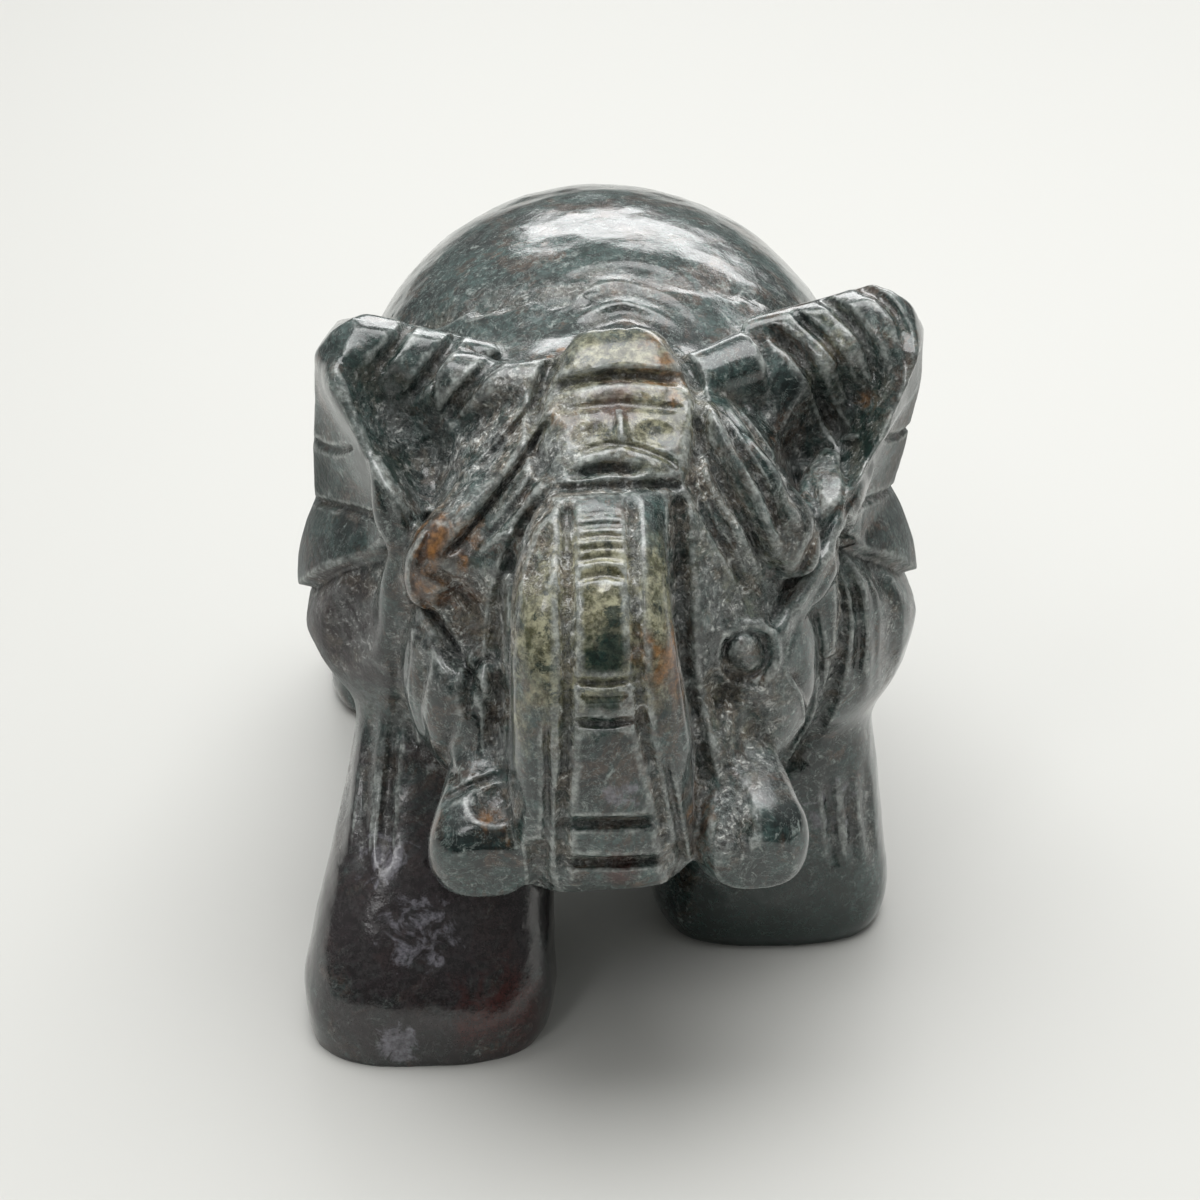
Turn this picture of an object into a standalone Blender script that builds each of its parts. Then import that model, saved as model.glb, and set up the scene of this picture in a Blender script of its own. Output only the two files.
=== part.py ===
"""Elephant carved from one piece of mottled chalcedony, walking, with its trunk raised to the forehead.

The forms are modelled roughly as solids, fused, smoothed as a polisher would, and then carved with strokes.
Its face looks along -Y, its left side is at +X, and it stands on Z = 0.
"""

import math

import bmesh
import bpy
import numpy as np
from mathutils import Euler, Matrix, Vector

# Driving sizes of the whole carving, in metres.
HEIGHT = 0.035
LENGTH = 0.050
WIDTH = 0.0315

# The block is laid out on a grid of so many units. A unit is a millimetre at the real size.
GRID_WIDTH = 31.5
GRID_LENGTH = 50
GRID_HEIGHT = 35

# Sizes on the grid.
ROUGH_CELL = 0.55
CARVED_CELL = 0.36
FACE_LEAN = 30
TOOL_CELL = 0.5
TOOL_REACH = 2.4
SOLE_ROUNDING = 0.5
BELOW_GROUND = 0.8
TRIANGLES = 9600

BODY_POLISH = 11
HEAD_POLISH = 3

# Widths and depths of the tools' usual cuts, on the grid.
NEEDLE = 0.6
FINE = 0.8
MIDDLE = 1.0
BROAD = 1.2
WIDE = 1.5
GRAZE = 0.35
CUT = 0.5
DEEP = 0.7
CREASE = 1.1

STONE_COLOUR = (0.045, 0.062, 0.060, 1)
STONE_ROUGHNESS = 0.2


def clear_scene():
    """Removes every object of the open scene."""
    for old in list(bpy.data.objects):
        bpy.data.objects.remove(old, do_unlink=True)


# Rough forms: each is added to one bmesh, in grid units.


def ellipsoid(mesh, centre, radii, turn=(0, 0, 0)):
    """An ellipsoid turned by three angles in degrees."""
    angles = Euler([math.radians(angle) for angle in turn])
    place = Matrix.LocRotScale(Vector(centre), angles, Vector(radii))
    bmesh.ops.create_icosphere(mesh, subdivisions=4, radius=1, matrix=place)


def smooth_line(points, steps=6):
    """The points of a smooth curve through the given ones."""
    points = np.asarray(points, float)
    padded = np.vstack([2 * points[0] - points[1], points, 2 * points[-1] - points[-2]])
    line = []
    for before, start, end, after in zip(padded, padded[1:], padded[2:], padded[3:]):
        for t in np.arange(steps) / steps:
            line.append(
                start
                + 0.5 * t * (end - before)
                + t**2 * (before - 2.5 * start + 2 * end - 0.5 * after)
                + t**3 * (1.5 * (start - end) + 0.5 * (after - before))
            )
    return np.array([*line, points[-1]])


def skin(mesh, rings):
    """Closes rings of as many points each into one tube with flat ends."""
    made = [[mesh.verts.new(point) for point in ring] for ring in rings]
    count = len(made[0])
    for lower, upper in zip(made, made[1:]):
        for i in range(count):
            after = (i + 1) % count
            mesh.faces.new((lower[i], lower[after], upper[after], upper[i]))
    mesh.faces.new(made[0][::-1])
    mesh.faces.new(made[-1])


def limb(mesh, stations, squareness=2.5, sides=28):
    """A limb swept through stations of x, y, z, half width and half depth, its sections superellipses."""
    line = smooth_line(stations)
    path = line[:, :3]
    along = np.gradient(path, axis=0)
    along /= np.linalg.norm(along, axis=1)[:, None]
    across = np.array([1.0, 0, 0]) - along * along[:, :1]
    across /= np.linalg.norm(across, axis=1)[:, None]
    through = np.cross(along, across)
    angle = np.arange(sides) / sides * 2 * math.pi
    cosine = np.sign(np.cos(angle)) * np.abs(np.cos(angle)) ** (2 / squareness)
    sine = np.sign(np.sin(angle)) * np.abs(np.sin(angle)) ** (2 / squareness)
    rings = []
    for centre, half_width, half_depth, side, front in zip(path, line[:, 3], line[:, 4], across, through):
        rings.append(centre + half_width * np.outer(cosine, side) + half_depth * np.outer(sine, front))
    skin(mesh, rings)


def mirrored(stations, side):
    """The stations with their x on the given side, -1 or 1."""
    return [(side * x, *rest) for x, *rest in stations]


# Ellipsoids of the body, each with its centre, its radii and its turn about X, Y and Z in degrees.
BODY_FORMS = {
    "back": ((0.8, 5.5, 23.0), (13.5, 19.3, 11.7), (0, 0, 0)),
    "rump": ((0, 13.5, 19.5), (13.2, 11.0, 10.5), (0, 0, 0)),
    "right thigh": ((-7.6, 14.5, 16.5), (6.8, 8.6, 8.0), (-14, 0, 0)),
    "left thigh": ((7.6, 12.0, 16.5), (6.8, 8.6, 8.0), (-6, 0, 0)),
    "belly": ((0, 4.0, 19.0), (12.6, 16.0, 7.2), (0, 0, 0)),
    "neck": ((0, -6.5, 25.0), (10.5, 8.5, 7.8), (0, 0, 0)),
    "chest": ((0, -9.0, 17.5), (9.0, 7.0, 6.5), (0, 0, 0)),
    "right shoulder": ((-7.8, -4.6, 19.6), (7.7, 8.7, 7.8), (0, 8, 0)),
    "left shoulder": ((8.7, -4.2, 18.4), (7.7, 8.5, 9.0), (0, -6, 0)),
}

# Stations of the four legs from inside the body down to the foot: x, y, z, half width and half depth.
LEGS = {
    "front right": (
        (-7.4, -5.5, 15, 4.7, 5.4),
        (-8.0, -9.0, 9, 5.4, 5.5),
        (-8.9, -12.4, 3.5, 6.1, 6.1),
        (-9.2, -13.5, 1, 6.5, 6.5),
    ),
    "front left": (
        (8.2, -4.0, 15, 5.2, 5.6),
        (8.7, -4.4, 9, 5.8, 5.8),
        (8.9, -4.8, 3.5, 6.3, 6.2),
        (9.0, -5.0, 1, 6.5, 6.4),
    ),
    "rear right": (
        (-7.8, 14.0, 15, 5.0, 5.8),
        (-8.5, 16.0, 9, 5.4, 5.7),
        (-9.2, 17.8, 3.5, 5.9, 5.9),
        (-9.4, 18.2, 1, 6.3, 6.2),
    ),
    "rear left": (
        (7.8, 12.0, 15, 5.0, 5.8),
        (8.5, 12.6, 9, 5.4, 5.7),
        (9.0, 13.2, 3.5, 5.9, 5.8),
        (9.2, 13.5, 1, 6.3, 6.1),
    ),
}
LEG_SQUARENESS = 3.2

TAIL = (
    (0, 22.0, 27.5, 1.2, 1.4),
    (0.2, 24.0, 23, 1.1, 1.3),
    (0.6, 24.2, 18, 1.0, 1.2),
    (1.2, 23.6, 13, 1.2, 1.2),
)


def add_body(mesh):
    """Back, rump, belly, thighs, shoulders and neck."""
    for centre, radii, turn in BODY_FORMS.values():
        ellipsoid(mesh, centre, radii, turn)


def add_legs(mesh):
    """Four pillar legs in mid stride, each foot drawn in a little at its sole."""
    for stations in LEGS.values():
        x, y, _, half_width, half_depth = stations[-1]
        sole = (x, y, 0, half_width - SOLE_ROUNDING, half_depth - SOLE_ROUNDING)
        below = (x, y, -BELOW_GROUND, half_width - 2 * SOLE_ROUNDING, half_depth - 2 * SOLE_ROUNDING)
        limb(mesh, (*stations, sole, below), LEG_SQUARENESS)


def add_tail(mesh):
    """A tail lying down the middle of the rump."""
    limb(mesh, TAIL)


HEAD_FORMS = {
    "skull": ((0.2, -10.5, 25.8), (8.6, 7.6, 7.2), (0, 0, 0)),
    "face": ((0, -13.5, 22.5), (8.6, 5.6, 7.0), (0, 0, 0)),
    "muzzle": ((0, -15.5, 16.5), (7.6, 5.4, 5.0), (0, 0, 0)),
    "right cheek": ((-6.4, -12.6, 18.4), (3.7, 5.2, 6.0), (0, -8, 0)),
    "left cheek": ((6.4, -12.6, 18.4), (3.7, 5.2, 6.0), (0, 8, 0)),
}
BROW = (
    (2.6, -11.5, 30.4, 1.4, 1.4),
    (5.2, -13.3, 28.5, 1.6, 1.7),
    (8.0, -14.2, 25.4, 1.6, 1.9),
    (8.7, -14.2, 23.4, 0.9, 1.3),
)
BROW_LIFT = {-1: 0.0, 1: 1.2}
CREST = (
    (-7.4, -7.6, 31.4, 1.6, 1.6),
    (-4.6, -9.2, 31.5, 1.5, 1.5),
    (-1.5, -9.6, 31.8, 1.5, 1.5),
    (3.0, -9.0, 31.4, 1.4, 1.4),
    (7.2, -7.4, 32.0, 1.6, 1.6),
)


def add_head(mesh):
    """Skull, cheeks, muzzle, the crest between the ears and two slanting brows, the one at +X higher."""
    for centre, radii, turn in HEAD_FORMS.values():
        ellipsoid(mesh, centre, radii, turn)
    for side, lift in BROW_LIFT.items():
        limb(mesh, [(x, y, z + lift, width, depth) for x, y, z, width, depth in mirrored(BROW, side)])
    limb(mesh, CREST)


# Stations of the trunk's centre line, from between the tusks up to the forehead, and of its curled tip.
TRUNK = (
    (-0.7, -19.2, 12.9, 4.2, 3.3),
    (-0.8, -19.9, 15.5, 4.3, 3.8),
    (-0.9, -20.5, 20, 4.1, 3.8),
    (-1.2, -20.0, 24.2, 3.7, 3.5),
    (-1.1, -18.3, 26.8, 3.4, 2.9),
    (-0.4, -15.8, 28.2, 2.7, 2.3),
    (0.1, -13.0, 29.0, 2.3, 2.0),
)
TRUNK_TIP = (
    (0.3, -15.8, 28.6, 3.0, 1.7),
    (0.3, -14.0, 29.3, 3.2, 2.1),
    (0.5, -11.6, 30.9, 3.2, 2.2),
    (0.6, -9.4, 32.5, 3.0, 2.1),
    (0.6, -8.0, 33.5, 2.1, 1.5),
)
TUSK = (
    (5.3, -14.0, 17.2, 1.9, 2.2),
    (5.7, -17.0, 15.2, 2.2, 2.4),
    (6.1, -19.8, 13.9, 2.6, 2.7),
    (6.3, -21.8, 13.3, 2.5, 2.3),
)
TRUNK_SQUARENESS = 3.6
TIP_SQUARENESS = 3.0


def add_trunk(mesh):
    """Trunk, its curled tip, and the stub of tusk on each side of its root."""
    limb(mesh, TRUNK, TRUNK_SQUARENESS)
    limb(mesh, TRUNK_TIP, TIP_SQUARENESS)
    for side in (-1, 1):
        limb(mesh, mirrored(TUSK, side))


# Level sections of an ear from its lower corner up: each is a height, then its rim, outer front, outer rear,
# inner rear and inner front corners in plan.
EAR = (
    (20.0, (13.0, -6.5), (13.8, -5.0), (13.9, 0.0), (9.0, 0.0), (9.0, -5.0)),
    (23.0, (12.2, -9.6), (14.2, -5.0), (14.3, 1.6), (8.0, 1.6), (8.0, -8.0)),
    (26.4, (10.0, -12.8), (14.7, -5.0), (14.7, 2.2), (7.0, 2.2), (7.4, -9.5)),
    (29.4, (12.2, -11.2), (14.9, -5.5), (14.6, 1.2), (6.6, 1.0), (6.0, -9.0)),
    (31.9, (14.0, -9.2), (14.8, -5.8), (13.8, -1.2), (6.0, -2.4), (5.2, -8.0)),
    (33.3, (13.1, -7.9), (13.9, -6.2), (12.6, -3.6), (6.0, -4.6), (5.6, -6.8)),
    (34.1, (12.5, -6.9), (12.9, -6.1), (12.2, -5.0), (6.0, -5.5), (5.8, -6.2)),
)
EAR_FOOT_OFFSET = {-1: 0.1, 1: 0.3}
EAR_OFFSET = {-1: -0.9, 1: 0.9}
EAR_LIFT = {-1: 0.0, 1: 1.0}
EAR_LIFT_FROM = 26.4
EAR_OFFSET_FROM = 23
EAR_OFFSET_TO = 29.4
EAR_FALL = 0.24
NECK_FOLD = ((10.0, -11.8, 27.5, 1.2, 1.5), (9.8, -12.0, 24, 1.2, 1.5), (10.4, -10.8, 19, 1.4, 2.0))


def add_ears(mesh):
    """Fan ears held out from the neck, falling towards the head, each with the neck fold below its rim."""
    for side in (-1, 1):
        rings = []
        for height, *corners in EAR:
            share = max(0, height - EAR_LIFT_FROM) / (EAR[-1][0] - EAR_LIFT_FROM)
            offset = np.interp(
                height, (EAR_OFFSET_FROM, EAR_OFFSET_TO), (EAR_FOOT_OFFSET[side], EAR_OFFSET[side])
            )
            ring = []
            for x, y in corners[::side]:
                fall = EAR_FALL * (EAR[-1][1][0] - x)
                ring.append((side * (x + offset), y, height + share * (EAR_LIFT[side] - fall)))
            rings.append(ring)
        skin(mesh, rings)
        limb(mesh, mirrored(NECK_FOLD, side))


def fused(name, build_steps, cell, polish, base=None):
    """One closed mesh object from overlapping forms, remeshed at the cell size and then smoothed."""
    mesh = bmesh.new()
    if base:
        mesh.from_mesh(base.data)
    for build in build_steps:
        build(mesh)
    data = bpy.data.meshes.new(name)
    mesh.to_mesh(data)
    mesh.free()
    obj = bpy.data.objects.new(name, data)
    bpy.context.scene.collection.objects.link(obj)
    remesh = obj.modifiers.new("Fuse", "REMESH")
    remesh.mode = "VOXEL"
    remesh.voxel_size = cell
    smooth = obj.modifiers.new("Polish", "SMOOTH")
    smooth.factor = 0.5
    smooth.iterations = polish
    bake(obj)
    if base:
        bpy.data.objects.remove(base, do_unlink=True)
    return obj


def bake(obj):
    """Turns an object's modifiers into its mesh."""
    bpy.context.view_layer.update()
    graph = bpy.context.evaluated_depsgraph_get()
    made = bpy.data.meshes.new_from_object(obj.evaluated_get(graph))
    obj.modifiers.clear()
    obj.data = made


# Carving: strokes are drawn on a plane that faces the tool, and cut along the tool's direction.


class View:
    """A drawing plane: its right, its up, and the way from the surface to the tool."""

    def __init__(self, right, up):
        self.right = np.array(right, float)
        self.up = np.array(up, float)
        self.out = np.cross(self.right, self.up)

    def flatten(self, points):
        """The points in the plane, and how far each stands towards the tool."""
        return np.column_stack([points @ self.right, points @ self.up]), points @ self.out


LEAN_SINE = math.sin(math.radians(FACE_LEAN))
LEAN_COSINE = math.cos(math.radians(FACE_LEAN))
FACE = View((1, 0, 0), (0, LEAN_SINE, LEAN_COSINE))
RIGHT_SIDE = View((0, -1, 0), (0, 0, 1))
LEFT_SIDE = View((0, 1, 0), (0, 0, 1))
REAR = View((-1, 0, 0), (0, 0, 1))


def first_reached(flat, height):
    """Whether the tool, coming straight at the plane, meets each point before anything else."""
    cell = np.floor((flat - flat.min(axis=0)) / TOOL_CELL).astype(int)
    nearest = np.full(cell.max(axis=0) + 1, -np.inf)
    np.maximum.at(nearest, (cell[:, 0], cell[:, 1]), height)
    return height > nearest[cell[:, 0], cell[:, 1]] - TOOL_REACH


def along_path(path, flat):
    """For each point, its distance from the path, which side it is on and how near it is to either end."""
    line = smooth_line(path)
    best = np.full(len(flat), np.inf)
    side = np.zeros(len(flat))
    gone = np.zeros(len(flat))
    total = 0.0
    for start, end in zip(line, line[1:]):
        step = end - start
        length = math.hypot(*step)
        away = flat - start
        share = np.clip(away @ step / length**2, 0, 1)
        rest = away - share[:, None] * step
        distance = np.hypot(rest[:, 0], rest[:, 1])
        closer = distance < best
        best[closer] = distance[closer]
        side[closer] = np.sign(step[0] * away[:, 1] - step[1] * away[:, 0])[closer]
        gone[closer] = total + share[closer] * length
        total += length
    return best, side, np.minimum(gone, total - gone)


def groove(path, width, depth, taper=0.8):
    """A round-bottomed groove; a negative depth raises a ridge."""

    def cut(flat):
        distance, _, to_end = along_path(path, flat)
        profile = np.clip(1 - (2 * distance / width) ** 2, 0, 1) ** 1.5
        return depth * profile * np.clip(to_end / taper + 0.25, 0, 1)

    return cut


def fold(path, width, depth, taper=0.8):
    """A fold: a sharp drop on the left of the path, easing back to the surface over the width."""

    def cut(flat):
        distance, side, to_end = along_path(path, flat)
        gentle = np.clip(1 - distance / width, 0, 1) ** 1.6
        steep = np.clip(1 - distance / 0.3, 0, 1)
        return depth * np.where(side > 0, gentle, steep) * np.clip(to_end / taper, 0, 1)

    return cut


def hollow(centre, radii, depth, turn=0):
    """A shallow oval hollow; a negative depth raises a swelling."""

    def cut(flat):
        away = flat - np.array(centre)
        cosine, sine = math.cos(math.radians(turn)), math.sin(math.radians(turn))
        across = (away[:, 0] * cosine + away[:, 1] * sine) / radii[0]
        up = (away[:, 1] * cosine - away[:, 0] * sine) / radii[1]
        return depth * np.clip(1 - across**2 - up**2, 0, 1) ** 1.5

    return cut


def ring(centre, radius, width, depth):
    """A round groove about a centre."""

    def cut(flat):
        away = np.linalg.norm(flat - np.array(centre), axis=1) - radius
        return depth * np.clip(1 - (2 * away / width) ** 2, 0, 1) ** 1.5

    return cut


def carve(points, view, strokes):
    """Moves the points that the tool reaches by the sum of the strokes."""
    flat, height = view.flatten(points)
    reached = first_reached(flat, height)
    cut = np.zeros(len(points))
    for stroke in strokes:
        cut[reached] += stroke(flat[reached])
    return points - cut[:, None] * view.out


def trunk_strokes():
    """The trunk's ringed band, its long grooves, the rings and the curled tip's mouth."""
    left = ((-2.2, 17.2), (-2.4, 12.6), (-2.5, 7.4), (-2.7, 3.8), (-2.8, -0.2))
    right = ((0.7, 17.2), (0.6, 12.6), (0.8, 7.4), (1.6, 3.8), (2.2, -0.2))
    strokes = [groove(left, FINE, CUT), groove(right, FINE, CUT)]
    strokes.append(groove(((-3.5, 7.2), (-3.5, 3.8), (-3.6, 0.6)), FINE, CUT))
    strokes.append(groove(((1.8, 7.0), (2.3, 3.8), (3.0, 0.4)), FINE, CUT))
    for height, depth in ((15.7, GRAZE / 2), (14.6, GRAZE), (13.4, GRAZE), (9.2, CUT), (7.4, CUT)):
        strokes.append(groove(((-2.4, height), (0.3, height)), FINE, depth))
    for height, reach in ((2.8, 1.6), (0.9, 2.0)):
        strokes.append(groove(((-2.7, height), (reach, height)), FINE, DEEP))
    strokes.append(groove(((-2.9, 17.7), (3.2, 17.9)), FINE, CUT))
    strokes.append(groove(((-1.6, 18.5), (1.2, 18.6)), MIDDLE, DEEP))
    strokes.append(groove(((-2.4, 20.6), (3.2, 20.6)), MIDDLE, GRAZE))
    strokes.append(groove(((0.4, 19.2), (0.4, 21.6)), NEEDLE, -GRAZE))
    strokes.append(groove(((-2.6, 22.6), (3.4, 22.9)), MIDDLE, DEEP))
    return strokes


def trunk_sides():
    """Deep creases where the trunk, its tip and the tusks meet the face."""
    return [
        groove(((-2.9, 17.4), (-4.1, 15.9), (-5.3, 12.4), (-5.6, 8.0), (-5.7, 5.6)), WIDE, CREASE),
        groove(((2.9, 17.6), (2.9, 13.4), (3.0, 10.0), (3.5, 7.6), (4.1, 4.0)), WIDE, CREASE),
        groove(((-3.2, 18.4), (-3.5, 20.2), (-3.2, 22.4), (-2.3, 24.4)), MIDDLE, DEEP),
        groove(((3.8, 18.4), (4.1, 20.8), (4.1, 23.2), (2.9, 25.0)), MIDDLE, DEEP),
        groove(((-3.9, 2.0), (-3.6, -0.8)), WIDE, CREASE, taper=0.4),
        groove(((2.6, 1.8), (2.9, -1.0)), WIDE, CREASE, taper=0.4),
    ]


def brow_strokes():
    """The cut facets of the brow at -X and the slanting ridges of the one at +X."""
    first_cut = ((-2.7, 21.3), (-4.6, 18.6), (-6.1, 16.8), (-7.7, 15.0))
    strokes = [
        hollow((-5.8, 20.0), (1.6, 3.0), DEEP, turn=-40),
        hollow((4.5, 17.4), (1.4, 3.2), DEEP, turn=15),
        fold(first_cut, WIDE, DEEP),
        groove(((-2.5, 19.6), (-4.6, 17.2), (-6.5, 15.3)), NEEDLE, GRAZE),
        fold(((-3.2, 22.4), (-5.4, 20.0), (-7.9, 17.4)), BROAD, GRAZE),
        groove(((-6.2, 15.3), (-5.2, 15.8), (-4.4, 15.7)), MIDDLE, -GRAZE),
        groove(((9.0, 18.4), (9.5, 16.4), (9.2, 14.2), (8.5, 12.2), (7.5, 10.4)), FINE, CUT),
    ]
    for path in (
        ((6.4, 22.2), (7.8, 20.2), (8.6, 19.0), (9.0, 17.4)),
        ((5.9, 20.2), (6.9, 18.3), (7.9, 16.9), (8.3, 15.8)),
        ((4.9, 18.0), (5.9, 16.1), (6.7, 15.0), (7.2, 13.9)),
    ):
        strokes.append(groove(path, MIDDLE, -CUT))
        strokes.append(groove([(x - 0.9, y - 0.5) for x, y in path], MIDDLE, CUT))
    return strokes


def face_strokes():
    """Eye sockets, eyes, cheek folds, the tusks' cut ends and the hollow before the shoulder at -X."""
    eye = (6.1, 10.1)
    return [
        hollow((-6.4, 11.9), (2.2, 2.6), WIDE, turn=-20),
        hollow((6.2, 12.9), (2.4, 2.0), CREASE, turn=20),
        fold(((-5.6, 7.4), (-7.2, 10.6), (-8.1, 12.0), (-8.9, 13.2)), WIDE, DEEP),
        hollow((-5.9, 8.5), (0.95, 1.3), -FINE),
        groove(((-7.0, 8.0), (-6.6, 9.6), (-5.8, 10.2)), NEEDLE, GRAZE),
        hollow(eye, (1.0, 1.0), -CUT),
        ring(eye, BROAD, FINE, CUT),
        fold(((-9.3, 6.4), (-9.7, 9.0), (-9.3, 11.4)), BROAD, DEEP),
        fold(((-8.5, 5.2), (-8.9, 8.2), (-8.5, 10.4)), BROAD, DEEP),
        fold(((-7.2, 4.4), (-7.8, 5.9), (-7.3, 7.4)), MIDDLE, CUT),
        fold(((9.4, 11.0), (10.1, 8.6), (10.1, 6.6), (9.3, 4.4)), BROAD, DEEP),
        fold(((8.1, 9.4), (9.0, 7.6), (9.3, 5.8), (8.8, 4.2)), BROAD, DEEP),
        groove(((-8.3, 3.4), (-7.2, 4.2), (-5.4, 4.8)), NEEDLE, GRAZE),
        hollow((-5.7, 3.6), (1.4, 1.1), DEEP),
        hollow((5.2, 2.4), (1.1, 2.3), DEEP),
        hollow((-12.4, 12.6), (1.6, 3.2), CUT, turn=-10),
    ]


def ear_strokes():
    """The scooped front of each ear, the scallops of its top edge and the neck fold beside the cheek."""
    return [
        hollow((-9.4, 20.6), (2.2, 4.6), 2.2, turn=28),
        hollow((10.9, 20.6), (2.4, 4.8), 2.4, turn=-34),
        groove(((-9.4, 26.6), (-10.2, 25.2), (-11.2, 23.9)), BROAD, DEEP),
        groove(((-7.0, 25.6), (-8.2, 24.1), (-9.5, 22.6)), BROAD, DEEP),
        groove(((-4.9, 24.6), (-6.3, 23.2), (-7.9, 21.6)), BROAD, DEEP),
        groove(((8.2, 25.4), (9.3, 24.4), (10.5, 22.3), (11.7, 20.1)), BROAD, DEEP),
        groove(((10.3, 27.2), (12.0, 25.1), (13.1, 22.9)), BROAD, DEEP),
        groove(((12.2, 28.0), (14.0, 26.0), (14.4, 24.6)), BROAD, CUT),
        groove(((10.7, 15.6), (11.3, 12.0), (11.1, 8.4)), MIDDLE, CUT),
    ]


def neck_strokes():
    """Wrinkles across the back of the neck, behind the trunk's tip."""
    return [
        groove(((-2.8, 28.4), (-1.0, 29.1), (1.2, 29.4), (4.4, 28.8), (6.6, 28.0)), BROAD, GRAZE, taper=2),
        groove(((-2.0, 27.1), (-0.7, 27.8), (1.3, 28.1), (4.2, 27.4), (5.6, 26.8)), BROAD, GRAZE, taper=2),
        groove(((-0.8, 26.2), (1.1, 26.9), (3.0, 26.2)), MIDDLE, GRAZE, taper=2),
    ]


def leg_strokes():
    """Folds down the outer side of each front leg and over the shoulder at +X."""
    strokes = []
    for start in (-12.7, -11.6, -10.4):
        path = ((start, 8.2), (start - 0.5, 4.4), (start - 0.9, 0.4))
        strokes.append(groove(path, MIDDLE, GRAZE, taper=2.5))
    for start in (11.4, 12.5, 13.5):
        path = ((start, 3.8), (start + 0.3, 1.0), (start + 0.6, -1.0))
        strokes.append(groove(path, MIDDLE, GRAZE, taper=1.5))
    strokes.append(groove(((13.7, 15.0), (14.2, 11.6), (14.3, 8.0)), WIDE, CUT, taper=2))
    strokes.append(groove(((12.0, 19.0), (12.4, 14.7), (12.8, 10.6), (13.0, 7.6)), MIDDLE, -GRAZE, taper=2))
    return strokes


def side_strokes():
    """On a flank: the edge of the ear's flap, its two engraved lines, and folds at the legs."""
    behind = ((-3.5, 33.6), (-0.5, 31.6), (2.4, 28.0), (2.8, 24.0))
    below = ((1.0, 20.4), (-5.0, 19.2), (-9.6, 22.6), (-12.6, 26.4))
    ear_back = behind + below
    return [
        fold(ear_back, 2.2, 0.9),
        groove(((-11.5, 26.0), (-8.0, 25.0), (-3.5, 23.4)), NEEDLE, GRAZE),
        groove(((-9.5, 29.0), (-6.5, 27.6), (-1.5, 27.0)), NEEDLE, GRAZE),
        groove(((6.6, 18.0), (6.2, 15.0), (7.4, 12.0)), WIDE, CUT, taper=2),
        groove(((20.0, 16.0), (20.6, 11.0), (21.4, 7.0)), BROAD, GRAZE, taper=2),
        groove(((18.0, 15.5), (18.6, 11.0), (19.4, 7.0)), BROAD, GRAZE, taper=2),
    ]


def facing(strokes, flip):
    """The same strokes for a view whose right is turned round when flip is -1."""
    return [lambda flat, stroke=stroke: stroke(flat * np.array([flip, 1])) for stroke in strokes]


def rear_strokes():
    """The groove on each side of the tail."""
    tail = ((-0.2, 26.5), (-0.4, 20.0), (-1.0, 13.5))
    return [groove([(x + away, z) for x, z in tail], BROAD, CUT, taper=2) for away in (-1.6, 1.6)]


def carve_all(obj):
    """Every stroke, from the broad ones to the fine ones."""
    points = np.empty(len(obj.data.vertices) * 3)
    obj.data.vertices.foreach_get("co", points)
    points = points.reshape(-1, 3)
    for view, strokes in (
        (FACE, trunk_sides() + ear_strokes()),
        (FACE, trunk_strokes() + brow_strokes() + face_strokes() + neck_strokes() + leg_strokes()),
        (RIGHT_SIDE, facing(side_strokes(), -1)),
        (LEFT_SIDE, side_strokes()),
        (REAR, rear_strokes()),
    ):
        points = carve(points, view, strokes)
    obj.data.vertices.foreach_set("co", points.ravel())
    obj.data.update()


def thin_out(obj):
    """Keeps enough triangles for the carving that shows from a step away."""
    obj.data.calc_loop_triangles()
    thin = obj.modifiers.new("Thin out", "DECIMATE")
    thin.ratio = TRIANGLES / len(obj.data.loop_triangles)
    thin.use_collapse_triangulate = True
    bake(obj)


def stand_on_soles(obj):
    """Cuts the feet level at the ground and closes the four soles."""
    mesh = bmesh.new()
    mesh.from_mesh(obj.data)
    everything = mesh.verts[:] + mesh.edges[:] + mesh.faces[:]
    ground = {"plane_co": (0, 0, 0), "plane_no": (0, 0, 1)}
    cut = bmesh.ops.bisect_plane(mesh, geom=everything, clear_inner=True, **ground)
    edges = [item for item in cut["geom_cut"] if isinstance(item, bmesh.types.BMEdge)]
    soles = bmesh.ops.contextual_create(mesh, geom=edges)["faces"]
    bmesh.ops.triangulate(mesh, faces=soles)
    bmesh.ops.recalc_face_normals(mesh, faces=mesh.faces[:])
    mesh.to_mesh(obj.data)
    mesh.free()


def to_real_size(obj):
    """From the layout grid to metres, with the origin on the ground under the middle of its box."""
    corners = np.array(obj.bound_box)
    middle = (corners.min(axis=0) + corners.max(axis=0)) / 2
    grid = (WIDTH / GRID_WIDTH, LENGTH / GRID_LENGTH, HEIGHT / GRID_HEIGHT)
    obj.data.transform(Matrix.Diagonal((*grid, 1)) @ Matrix.Translation((-middle[0], -middle[1], 0)))


def stone():
    """Dark polished chalcedony."""
    material = bpy.data.materials.new("stone")
    material.use_nodes = True
    shader = material.node_tree.nodes["Principled BSDF"]
    shader.inputs["Base Color"].default_value = STONE_COLOUR
    shader.inputs["Roughness"].default_value = STONE_ROUGHNESS
    shader.inputs["Metallic"].default_value = 0
    return material


def build():
    """The finished elephant."""
    clear_scene()
    body = fused("body", (add_body, add_legs, add_tail), ROUGH_CELL, BODY_POLISH)
    elephant = fused("elephant", (add_head, add_trunk, add_ears), CARVED_CELL, HEAD_POLISH, base=body)
    carve_all(elephant)
    thin_out(elephant)
    stand_on_soles(elephant)
    to_real_size(elephant)
    elephant.data.materials.append(stone())
    elephant.data.shade_smooth()
    return elephant


build()
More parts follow.
